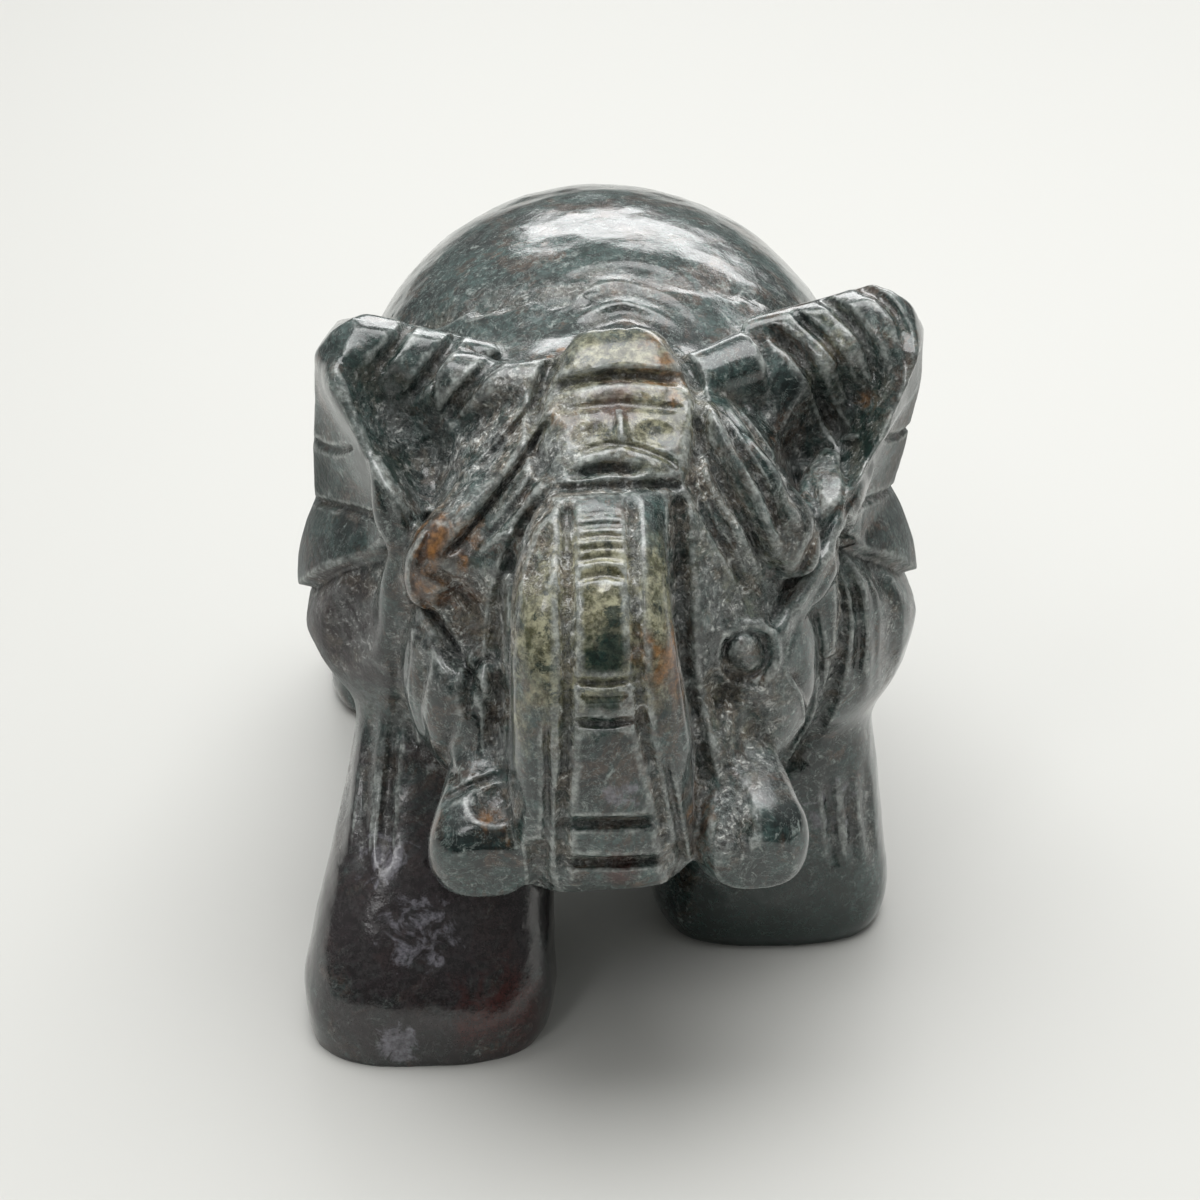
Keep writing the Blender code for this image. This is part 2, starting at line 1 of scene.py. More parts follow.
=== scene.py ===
"""Full-detail scene of the elephant carved from one piece of moss agate.

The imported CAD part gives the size, the place and the ground. The stone is rebuilt here from the
same forms at a finer grain, carved with the same strokes and finer ones, stained by its minerals
and left matt where a burr ground it. Its face looks along -Y, its left side is at +X, and it
stands on Z = 0.
"""

import logging
import math
from abc import ABC, abstractmethod
from collections.abc import Sequence
from dataclasses import dataclass
from enum import Enum

import bmesh
import bpy
import numpy as np
from mathutils import Euler, Matrix, Vector
from numpy.typing import NDArray


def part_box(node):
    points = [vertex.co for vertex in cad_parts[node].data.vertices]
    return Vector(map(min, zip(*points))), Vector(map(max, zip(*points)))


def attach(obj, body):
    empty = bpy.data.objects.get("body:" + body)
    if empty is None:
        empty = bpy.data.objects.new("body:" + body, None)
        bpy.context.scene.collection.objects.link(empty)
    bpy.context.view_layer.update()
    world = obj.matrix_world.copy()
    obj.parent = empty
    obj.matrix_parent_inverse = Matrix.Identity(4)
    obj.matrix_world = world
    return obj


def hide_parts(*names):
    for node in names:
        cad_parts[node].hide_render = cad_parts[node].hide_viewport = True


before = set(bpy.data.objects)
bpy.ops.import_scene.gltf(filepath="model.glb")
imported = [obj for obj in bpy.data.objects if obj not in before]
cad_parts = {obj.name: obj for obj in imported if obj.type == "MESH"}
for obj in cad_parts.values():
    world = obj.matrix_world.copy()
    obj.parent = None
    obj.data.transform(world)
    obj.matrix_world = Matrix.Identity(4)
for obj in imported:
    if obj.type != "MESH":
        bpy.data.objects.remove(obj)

LOG = logging.getLogger("elephant")

Array = NDArray[np.float64]
Vec2 = tuple[float, float]
Vec3 = tuple[float, float, float]
Colour = tuple[float, float, float]
Station = tuple[float, float, float, float, float]

# The node of the CAD part that the carving stands for, and its body.
NODE = "elephant"
BODY = "root"

# The forms are laid out on a grid whose unit is a millimetre at the real size.
ROUGH_CELL = 0.55
CARVED_CELL = 0.17
BODY_POLISH = 11
HEAD_POLISH = 14
BODY_SMOOTHING = 2
FACE_LEAN = 30
TOOL_CELL = 0.5
TOOL_REACH = 2.4
SOLE_ROUNDING = 0.5
BELOW_GROUND = 0.8
POLISH_FACTOR = 0.5
STAIN_FADE = 1.4
TRIANGLES = 194000

# A stroke's profile: the powers of a round one and of one that eases out, and the share of
# its depth that a groove keeps at its ends.
ROUND_POWER = 1.5
EASE_POWER = 1.6
END_SHARE = 0.25

# Names of the point attributes that the stone's finish reads.
GROUND = "ground"
RIDGE = "ridge"
CREASE = "crease"
HOLLOWED = "hollowed"

# A mineral shows where its amount, weighed like this, and the noise add up to the second number.
AMOUNT_WEIGHT = 0.6
SHOWS_FROM = 0.9


class Side(Enum):
    """The animal's own right and left, as the sign of x."""

    RIGHT = -1
    LEFT = 1


class Batch(Enum):
    """When a part is fused: with the soft body, or afterwards with the crisper head."""

    BODY = "body"
    HEAD = "head"


class Left(Enum):
    """How a tool leaves the stone that it cuts, from polished to ground matt."""

    GLOSSY = 0.0
    SATIN = 0.35
    MATT = 1.0


GLOSSY, SATIN, MATT = Left


class Tint(Enum):
    """What changes over the stone: its minerals, its frost and its unpolished places."""

    OLIVE = "olive"
    RUST = "rust"
    GARNET = "garnet"
    PLUM = "plum"
    LAVENDER = "lavender"
    MOSS = "moss"
    FROST = "frost"
    UNPOLISHED = "unpolished"


@dataclass(frozen=True)
class DrawingPlane:
    """A plane that the carver draws on, with the way from the stone to the tool.

    Args:
        right: The direction of the drawing's first coordinate.
        up: The direction of its second coordinate.
        out: The direction from the stone towards the tool.
    """

    right: Vec3
    up: Vec3
    out: Vec3

    def flatten(self, points: Array) -> tuple[Array, Array]:
        """Lays points on the plane.

        Args:
            points: Places in the layout grid, one a row.

        Returns:
            The points' two coordinates on the plane, and how far each stands towards the tool.
        """
        flat = np.column_stack([points @ np.array(self.right), points @ np.array(self.up)])
        return flat, points @ np.array(self.out)


LEAN_SINE = math.sin(math.radians(FACE_LEAN))
LEAN_COSINE = math.cos(math.radians(FACE_LEAN))


class Facing(Enum):
    """The directions that the stone is carved from, both flanks drawn with y to the right."""

    FACE = DrawingPlane((1, 0, 0), (0, LEAN_SINE, LEAN_COSINE), (0, -LEAN_COSINE, LEAN_SINE))
    RIGHT_FLANK = DrawingPlane((0, 1, 0), (0, 0, 1), (-1, 0, 0))
    LEFT_FLANK = DrawingPlane((0, 1, 0), (0, 0, 1), (1, 0, 0))
    REAR = DrawingPlane((1, 0, 0), (0, 0, 1), (0, 1, 0))


def smooth_line(points: Sequence[Sequence[float]], steps: int = 6) -> Array:
    """A smooth curve through the given points.

    Args:
        points: Places to pass through, with any numbers that go along with them.
        steps: Points made for each stretch between two of them.

    Returns:
        The curve's points, one a row.
    """
    given = np.asarray(points, float)
    padded = np.vstack([2 * given[0] - given[1], given, 2 * given[-1] - given[-2]])
    line = []
    for before, start, end, after in zip(padded, padded[1:], padded[2:], padded[3:]):
        for t in np.arange(steps) / steps:
            line.append(
                start
                + 0.5 * t * (end - before)
                + t**2 * (before - 2.5 * start + 2 * end - 0.5 * after)
                + t**3 * (1.5 * (start - end) + 0.5 * (after - before))
            )
    return np.array([*line, given[-1]])


# Rough forms, added to one mesh in grid units.


@dataclass(frozen=True)
class Mass:
    """An ellipsoid of stone.

    Args:
        centre: Its middle.
        radii: Its half sizes.
        turn: Its turn about X, Y and Z in degrees.
    """

    centre: Vec3
    radii: Vec3
    turn: Vec3 = (0, 0, 0)

    def add_to(self, mesh: bmesh.types.BMesh) -> None:
        """Adds the ellipsoid to a mesh."""
        angles = Euler([math.radians(angle) for angle in self.turn])
        place = Matrix.LocRotScale(Vector(self.centre), angles, Vector(self.radii))
        bmesh.ops.create_icosphere(mesh, subdivisions=5, radius=1, matrix=place)


def skin(mesh: bmesh.types.BMesh, rings: Sequence[Sequence[Sequence[float]]]) -> None:
    """Closes rings of as many points each into one tube with flat ends.

    Args:
        mesh: The mesh that takes the tube.
        rings: The rings from one end to the other.
    """
    made = [[mesh.verts.new(point) for point in ring] for ring in rings]
    count = len(made[0])
    for lower, upper in zip(made, made[1:]):
        for i in range(count):
            after = (i + 1) % count
            mesh.faces.new((lower[i], lower[after], upper[after], upper[i]))
    mesh.faces.new(made[0][::-1])
    mesh.faces.new(made[-1])


@dataclass(frozen=True)
class Limb:
    """A limb swept through stations, its sections superellipses.

    Args:
        stations: Places along it, each x, y, z, half width and half depth.
        squareness: The superellipse's power, 2 for a round section.
        sides: Points round each section.
    """

    stations: tuple[Station, ...]
    squareness: float = 2.5
    sides: int = 48

    def on(self, side: Side, lift: float = 0) -> "Limb":
        """The same limb on one side of the animal, raised by the lift."""
        sign = side.value
        moved = tuple((sign * x, y, z + lift, *section) for x, y, z, *section in self.stations)
        return Limb(moved, self.squareness, self.sides)

    def add_to(self, mesh: bmesh.types.BMesh) -> None:
        """Adds the limb to a mesh."""
        line = smooth_line(self.stations, steps=10)
        path = line[:, :3]
        along = np.gradient(path, axis=0)
        along /= np.linalg.norm(along, axis=1)[:, None]
        across = np.array([1.0, 0, 0]) - along * along[:, :1]
        across /= np.linalg.norm(across, axis=1)[:, None]
        through = np.cross(along, across)
        angle = np.arange(self.sides) / self.sides * 2 * math.pi
        cosine = np.sign(np.cos(angle)) * np.abs(np.cos(angle)) ** (2 / self.squareness)
        sine = np.sign(np.sin(angle)) * np.abs(np.sin(angle)) ** (2 / self.squareness)
        rings = []
        sections = line[:, 3:]
        for centre, (width, depth), side, front in zip(path, sections, across, through):
            rings.append(centre + width * np.outer(cosine, side) + depth * np.outer(sine, front))
        skin(mesh, rings)


# Strokes of the carver's tools, each drawn on a plane and cut along the tool's direction.


@dataclass(frozen=True)
class Stroke(ABC):
    """One cut. A negative depth raises the stone instead."""

    @abstractmethod
    def reach(self) -> tuple[Array, Array]:
        """The lowest and highest corner of the stroke on its plane."""

    @abstractmethod
    def depth_at(self, flat: Array) -> Array:
        """How deep the tool bites at points of the plane."""


@dataclass(frozen=True)
class Line(Stroke):
    """A stroke along a smooth path.

    Args:
        path: Points that it passes through.
        width: How wide it is.
        depth: How deep it is at its middle.
        left: How the tool leaves it.
        taper: The length over which it runs out at its ends.
    """

    path: tuple[Vec2, ...]
    width: float
    depth: float
    left: Left = SATIN
    taper: float = 0.8

    def reach(self) -> tuple[Array, Array]:
        """The lowest and highest corner of the stroke on its plane."""
        line = smooth_line(self.path)
        return line.min(axis=0) - self.width, line.max(axis=0) + self.width

    def nearest(self, flat: Array) -> tuple[Array, Array, Array]:
        """Measures points against the path.

        Args:
            flat: Points of the plane, one a row.

        Returns:
            For each point its distance from the path, its side of it and how near an end it is.
        """
        line = smooth_line(self.path)
        best = np.full(len(flat), np.inf)
        side = np.zeros(len(flat))
        gone = np.zeros(len(flat))
        total = 0.0
        for start, end in zip(line, line[1:]):
            step = end - start
            length = math.hypot(*step)
            away = flat - start
            share = np.clip(away @ step / length**2, 0, 1)
            rest = away - share[:, None] * step
            distance = np.hypot(rest[:, 0], rest[:, 1])
            closer = distance < best
            best[closer] = distance[closer]
            side[closer] = np.sign(step[0] * away[:, 1] - step[1] * away[:, 0])[closer]
            gone[closer] = total + share[closer] * length
            total += length
        return best, side, np.minimum(gone, total - gone)


@dataclass(frozen=True)
class Groove(Line):
    """A round-bottomed groove, or a ridge where its depth is negative."""

    def depth_at(self, flat: Array) -> Array:
        """How deep the tool bites at points of the plane."""
        distance, _, to_end = self.nearest(flat)
        profile = np.clip(1 - (2 * distance / self.width) ** 2, 0, 1) ** ROUND_POWER
        return self.depth * profile * np.clip(to_end / self.taper + END_SHARE, 0, 1)


@dataclass(frozen=True)
class Fold(Line):
    """A sharp drop on the left of the path, easing back to the surface over the width."""

    edge: float = 0.2

    def depth_at(self, flat: Array) -> Array:
        """How deep the tool bites at points of the plane."""
        distance, side, to_end = self.nearest(flat)
        gentle = np.clip(1 - distance / self.width, 0, 1) ** EASE_POWER
        steep = np.clip(1 - distance / self.edge, 0, 1)
        return self.depth * np.where(side > 0, gentle, steep) * np.clip(to_end / self.taper, 0, 1)


@dataclass(frozen=True)
class Hollow(Stroke):
    """A shallow oval hollow, or a swelling where its depth is negative.

    Args:
        centre: Its middle on the plane.
        radii: Its half sizes.
        depth: How deep it is at its middle.
        turn: Its turn in degrees.
        left: How the tool leaves it.
    """

    centre: Vec2
    radii: Vec2
    depth: float
    turn: float = 0
    left: Left = SATIN

    def reach(self) -> tuple[Array, Array]:
        """The lowest and highest corner of the stroke on its plane."""
        middle = np.array(self.centre)
        return middle - max(self.radii), middle + max(self.radii)

    def depth_at(self, flat: Array) -> Array:
        """How deep the tool bites at points of the plane."""
        away = flat - np.array(self.centre)
        cosine, sine = math.cos(math.radians(self.turn)), math.sin(math.radians(self.turn))
        across = (away[:, 0] * cosine + away[:, 1] * sine) / self.radii[0]
        up = (away[:, 1] * cosine - away[:, 0] * sine) / self.radii[1]
        return self.depth * np.clip(1 - across**2 - up**2, 0, 1) ** ROUND_POWER


@dataclass(frozen=True)
class Ring(Stroke):
    """A round groove about a centre, as a ball burr leaves round an eye."""

    centre: Vec2
    radius: float
    width: float
    depth: float
    left: Left = SATIN

    def reach(self) -> tuple[Array, Array]:
        """The lowest and highest corner of the stroke on its plane."""
        middle = np.array(self.centre)
        return middle - self.radius - self.width, middle + self.radius + self.width

    def depth_at(self, flat: Array) -> Array:
        """How deep the tool bites at points of the plane."""
        away = np.linalg.norm(flat - np.array(self.centre), axis=1) - self.radius
        return self.depth * np.clip(1 - (2 * away / self.width) ** 2, 0, 1) ** ROUND_POWER


@dataclass(frozen=True)
class Stain:
    """A spot where the stone holds a mineral, or is frosted or left unpolished.

    Args:
        tint: What it holds.
        centre: The spot's middle in the layout grid.
        radius: How far it reaches before it fades out.
        strength: Its share of the stone at its middle.
    """

    tint: Tint
    centre: Vec3
    radius: float
    strength: float


def spots(tint: Tint, *places: Station) -> tuple[Stain, ...]:
    """Stains of one kind, each given as its centre, radius and strength."""
    return tuple(Stain(tint, tuple(centre), radius, share) for *centre, radius, share in places)


Drawing = list[tuple[Facing, list[Stroke]]]


class CarvedPart(ABC):
    """A part of the animal: its rough form, the strokes that carve it and the stains in it."""

    batch: Batch = Batch.HEAD
    minerals: tuple[Stain, ...] = ()

    @abstractmethod
    def add_to(self, mesh: bmesh.types.BMesh) -> None:
        """Adds the part's rough form to a mesh."""

    def deep_cuts(self) -> Drawing:
        """The broad strokes that shape the part."""
        return []

    def fine_cuts(self) -> Drawing:
        """The strokes that finish it."""
        return []


@dataclass
class Torso(CarvedPart):
    """Back, rump, belly, thighs, shoulders and neck."""

    batch = Batch.BODY
    minerals = (
        *spots(Tint.GARNET, (2.0, -6.0, 34.5, 3.0, 0.5)),
        *spots(Tint.RUST, (-2.5, -7.0, 33.5, 2.5, 0.45)),
        *spots(
            Tint.MOSS,
            (1.0, 2.0, 35.0, 6.0, 0.6), (-9.0, 12.0, 25.0, 9.0, 0.7), (10.0, 4.0, 24.0, 8.0, 0.5),
        ),
        *spots(Tint.OLIVE, (9.0, 14.0, 22.0, 7.0, 0.45)),
        *spots(Tint.PLUM, (0.0, 20.0, 20.0, 8.0, 0.6), (-12.0, -9.0, 19.5, 5.0, 1.0)),
        *spots(Tint.LAVENDER, (-11.0, 4.0, 22.0, 5.0, 0.5)),
        *spots(Tint.UNPOLISHED, (-15.0, -7.0, 18.0, 6.0, 0.8)),
    )
    back: Mass = Mass((0.8, 5.5, 23.0), (13.5, 19.3, 11.7))
    rump: Mass = Mass((0, 13.5, 19.5), (13.2, 11.0, 10.5))
    right_thigh: Mass = Mass((-7.6, 14.5, 16.5), (6.8, 8.6, 8.0), (-14, 0, 0))
    left_thigh: Mass = Mass((7.6, 12.0, 16.5), (6.8, 8.6, 8.0), (-6, 0, 0))
    belly: Mass = Mass((0, 4.0, 19.0), (12.6, 16.0, 7.2))
    neck: Mass = Mass((0, -6.5, 25.0), (10.5, 8.5, 7.8))
    chest: Mass = Mass((0, -9.0, 17.5), (9.0, 7.0, 6.5))
    right_shoulder: Mass = Mass((-7.8, -4.6, 19.6), (7.7, 8.7, 7.8), (0, 8, 0))
    left_shoulder: Mass = Mass((8.7, -4.2, 18.4), (7.7, 8.5, 9.0), (0, -6, 0))

    def add_to(self, mesh: bmesh.types.BMesh) -> None:
        """Adds the part's rough form to a mesh."""
        for mass in vars(self).values():
            mass.add_to(mesh)

    def fine_cuts(self) -> Drawing:
        """Wrinkles across the back of the neck, and the fold in front of each thigh."""
        neck = [
            Groove(((-2.6, 27.8), (-1.0, 28.9), (1.0, 29.4), (3.4, 28.9), (5.0, 28.0)),
                   1.3, 0.22, taper=2.5),
            Groove(((-1.8, 26.8), (-0.6, 27.7), (1.1, 28.1), (2.9, 27.6), (4.0, 26.8)),
                   1.2, 0.28, taper=2),
            Groove(((-0.8, 26.2), (1.1, 26.9), (3.0, 26.2)), 1.0, 0.3, taper=1.5),
        ]
        flank = [
            Groove(((20.0, 16.0), (20.6, 11.0), (21.4, 7.0)), 1.2, 0.35, taper=2),
            Groove(((18.0, 15.5), (18.6, 11.0), (19.4, 7.0)), 1.2, 0.35, taper=2),
        ]
        return [(Facing.FACE, neck), (Facing.RIGHT_FLANK, flank), (Facing.LEFT_FLANK, flank)]


@dataclass
class Leg(CarvedPart):
    """One pillar leg, its foot drawn in a little at the sole.

    Args:
        limb: The leg from inside the body down to the foot.
        folds: Strokes down its outer side.
        minerals: The minerals in it.
    """

    batch = Batch.BODY
    limb: Limb
    folds: tuple[Groove, ...] = ()
    minerals: tuple[Stain, ...] = ()

    def add_to(self, mesh: bmesh.types.BMesh) -> None:
        """Adds the part's rough form to a mesh."""
        x, y, _, width, depth = self.limb.stations[-1]
        sole = (x, y, 0, width - SOLE_ROUNDING, depth - SOLE_ROUNDING)
        below = (x, y, -BELOW_GROUND, width - 2 * SOLE_ROUNDING, depth - 2 * SOLE_ROUNDING)
        Limb((*self.limb.stations, sole, below), self.limb.squareness).add_to(mesh)

    def fine_cuts(self) -> Drawing:
        """The folds down its outer side."""
        return [(Facing.FACE, list(self.folds))]


@dataclass
class Tail(CarvedPart):
    """A tail lying down the middle of the rump."""

    batch = Batch.BODY
    limb: Limb = Limb(
        (
            (0, 22.0, 27.5, 1.2, 1.4),
            (0.2, 24.0, 23, 1.1, 1.3),
            (0.6, 24.2, 18, 1.0, 1.2),
            (1.2, 23.6, 13, 1.2, 1.2),
        )
    )
    beside: float = 1.6

    def add_to(self, mesh: bmesh.types.BMesh) -> None:
        """Adds the part's rough form to a mesh."""
        self.limb.add_to(mesh)

    def fine_cuts(self) -> Drawing:
        """The groove on each side of the tail."""
        line = ((0.2, 26.5), (0.4, 20.0), (1.0, 13.5))
        cuts = []
        for side in Side:
            away = side.value * self.beside
            cuts.append(Groove(tuple((x + away, z) for x, z in line), 1.2, 0.5, taper=2))
        return [(Facing.REAR, cuts)]


@dataclass
class Head(CarvedPart):
    """Skull, cheeks, muzzle, the crest between the ears and two slanting brows.

    Args:
        left_brow_lift: How much higher the left brow is than the right one.
    """

    minerals = (
        *spots(
            Tint.RUST,
            (-7.7, -15.0, 26.7, 2.2, 0.95), (-8.5, -15.5, 24.4, 1.8, 1.0),
            (7.7, -15.5, 19.7, 1.2, 0.9), (-5.8, -16.5, 19.2, 0.9, 0.9),
        ),
        *spots(
            Tint.GARNET,
            (6.0, -14.0, 27.0, 2.6, 0.6), (8.6, -14.0, 19.0, 2.0, 0.5),
            (-7.0, -15.5, 24.6, 2.2, 0.7),
        ),
        *spots(
            Tint.FROST,
            (-4.8, -13.5, 31.6, 4.2, 1.0), (5.6, -16.5, 25.6, 3.4, 0.9),
            (5.4, -18.0, 18.0, 3.4, 0.9), (-6.4, -15.5, 22.5, 3.0, 0.8),
            (4.9, -16.5, 21.5, 3.2, 0.7),
        ),
        *spots(
            Tint.OLIVE,
            (5.5, -16.0, 25.5, 4.0, 0.5), (-5.5, -16.0, 24.0, 3.6, 0.55),
            (5.0, -17.0, 18.5, 4.0, 0.45),
        ),
    )
    skull: Mass = Mass((0.2, -10.5, 25.8), (8.6, 7.6, 7.2))
    face: Mass = Mass((0, -13.5, 22.5), (8.6, 5.6, 7.0))
    muzzle: Mass = Mass((0, -15.5, 16.5), (7.6, 5.4, 5.0))
    right_cheek: Mass = Mass((-6.4, -12.6, 18.4), (3.7, 5.2, 6.0), (0, -8, 0))
    left_cheek: Mass = Mass((6.4, -12.6, 18.4), (3.7, 5.2, 6.0), (0, 8, 0))
    brow: Limb = Limb(
        (
            (2.6, -11.5, 30.4, 1.4, 1.4),
            (5.2, -13.3, 28.5, 1.6, 1.7),
            (8.0, -14.2, 25.4, 1.6, 1.9),
            (8.7, -14.2, 23.4, 0.9, 1.3),
        )
    )
    left_brow_lift: float = 1.2
    crest: Limb = Limb(
        (
            (-7.4, -7.6, 31.4, 1.6, 1.6),
            (-4.6, -9.2, 31.5, 1.5, 1.5),
            (-1.5, -9.6, 31.8, 1.5, 1.5),
            (3.0, -9.0, 31.4, 1.4, 1.4),
            (7.2, -7.4, 32.0, 1.6, 1.6),
        )
    )

    def add_to(self, mesh: bmesh.types.BMesh) -> None:
        """Adds the part's rough form to a mesh."""
        for mass in (self.skull, self.face, self.muzzle, self.right_cheek, self.left_cheek):
            mass.add_to(mesh)
        self.brow.on(Side.RIGHT).add_to(mesh)
        self.brow.on(Side.LEFT, self.left_brow_lift).add_to(mesh)
        self.crest.add_to(mesh)

    def fine_cuts(self) -> Drawing:
        """Brow grooves, forehead ridges, eye sockets, eyes and cheek folds."""
        return [(Facing.FACE, self.brow_cuts() + self.eye_cuts() + self.cheek_cuts())]

    def brow_cuts(self) -> list[Stroke]:
        """The grooves of the right brow and the diagonal ridges of the left one."""
        wedge = ((-2.7, 21.3), (-4.6, 18.6), (-6.1, 16.8), (-7.7, 15.0))
        cuts: list[Stroke] = [
            Hollow((-5.9, 20.2), (1.7, 3.2), 0.8, -40, MATT),
            Hollow((4.5, 17.4), (1.3, 3.2), 0.8, 15, MATT),
            Hollow((-3.9, 14.6), (1.3, 2.2), 0.6, -20, MATT),
            Fold(wedge, 1.6, 0.7, GLOSSY),
            Groove(wedge, 0.5, 0.4, MATT),
            Groove(((-2.6, 19.6), (-4.4, 17.2), (-5.9, 15.6)), 0.5, 0.35, MATT),
            Fold(((-3.0, 22.6), (-5.2, 20.0), (-7.2, 18.0), (-8.3, 16.9)), 1.0, 0.5, MATT),
            Groove(((-6.4, 14.9), (-5.4, 15.7), (-4.3, 15.8)), 0.7, -0.35, GLOSSY),
            Groove(((-8.6, 14.4), (-7.2, 13.6), (-6.2, 12.2)), 0.8, 0.35, MATT),
            Groove(((9.6, 18.6), (9.7, 16.5), (9.0, 14.6), (8.0, 12.7), (7.2, 11.4)),
                   0.6, 0.35, MATT),
            Groove(((12.3, 18.7), (11.1, 16.3), (9.8, 14.3), (8.5, 12.3), (7.5, 10.7)),
                   1.2, -0.6, GLOSSY),
            Groove(((-8.6, 16.6), (-9.5, 14.8), (-9.6, 13.6), (-9.0, 12.4), (-7.9, 10.9)),
                   0.9, -0.45, GLOSSY),
        ]
        for path, width in (
            (((6.6, 22.3), (7.9, 20.4), (8.7, 18.9), (9.0, 17.2)), 0.9),
            (((5.6, 22.0), (6.6, 20.0), (7.6, 18.2), (8.4, 16.0)), 0.8),
            (((4.6, 21.6), (5.4, 19.4), (6.6, 17.2), (7.6, 14.9)), 0.9),
            (((4.0, 19.0), (4.8, 17.2), (6.0, 15.2), (6.8, 13.9)), 0.7),
        ):
            cuts.append(Groove(path, width, -0.45, GLOSSY))
            cuts.append(Groove(tuple((x - 0.75, y - 0.5) for x, y in path), 0.7, 0.5, MATT))
        return cuts

    def eye_cuts(self) -> list[Stroke]:
        """The sockets, the long right eye and the round left one."""
        return [
            Hollow((-6.4, 11.9), (2.2, 2.6), 1.6, -20, MATT),
            Hollow((6.0, 12.9), (2.4, 2.0), 1.1, 20, MATT),
            Hollow((4.8, 9.2), (1.2, 3.4), 0.5, 0, MATT),
            Fold(((-5.6, 7.4), (-7.2, 10.6), (-8.1, 12.0), (-8.9, 13.2)), 1.4, 0.7, GLOSSY),
            Hollow((-5.9, 8.5), (0.85, 1.3), -0.8, 0, GLOSSY),
            Groove(((-6.9, 7.6), (-6.8, 9.0), (-6.2, 10.1), (-5.6, 10.2)), 0.5, 0.4, MATT),
            Groove(((-7.4, 8.2), (-7.2, 9.6), (-6.4, 10.8)), 0.4, -0.25, GLOSSY),
            Hollow((6.1, 10.1), (0.95, 0.95), -0.45, 0, GLOSSY),
            Ring((6.1, 10.1), 1.0, 0.5, 0.25, SATIN),
            Groove(((5.3, 11.1), (5.0, 10.0), (5.4, 9.1), (6.3, 8.8)), 0.45, 0.3, MATT),
            Groove(((6.0, 11.7), (7.2, 11.2), (7.6, 10.0), (7.2, 8.9)), 0.7, -0.4, GLOSSY),
        ]

    def cheek_cuts(self) -> list[Stroke]:
        """Nested leaf-shaped folds down each cheek."""
        return [
            Fold(((-9.5, 5.8), (-9.9, 8.4), (-9.5, 11.6)), 1.0, 0.6, GLOSSY),
            Fold(((-8.6, 4.9), (-9.1, 7.8), (-8.6, 10.6)), 0.9, 0.6, GLOSSY),
            Fold(((-7.3, 4.2), (-7.9, 5.8), (-7.4, 7.6)), 0.8, 0.5, GLOSSY),
            Fold(((9.4, 12.4), (10.2, 10.0), (10.5, 8.0), (10.1, 5.8), (9.3, 4.0)),
                 1.1, 0.7, GLOSSY),
            Fold(((8.0, 9.6), (9.0, 8.2), (9.5, 6.4), (9.2, 4.8), (8.6, 3.6)), 1.0, 0.7, GLOSSY),
            Groove(((10.0, 12.3), (10.6, 9.6), (10.4, 7.3), (9.7, 5.5), (9.0, 4.2)),
                   0.6, -0.35, GLOSSY),
            Groove(((8.2, 9.0), (9.1, 7.7), (9.3, 6.2), (8.8, 4.8)), 0.5, -0.3, GLOSSY),
            Groove(((-9.2, 12.0), (-9.8, 10.2), (-9.8, 8.0), (-9.2, 5.8)), 0.6, -0.35, GLOSSY),
            Hollow((6.4, 6.4), (1.9, 1.5), 0.45, 20, MATT),
            Groove(((10.9, 15.6), (11.4, 12.0), (11.2, 8.4), (10.6, 6.0)), 1.0, 0.6, MATT),
            Groove(((11.9, 13.6), (12.4, 11.2), (12.2, 8.8)), 0.8, 0.3),
            Hollow((-12.4, 12.4), (1.6, 3.4), 0.9, -10),
        ]


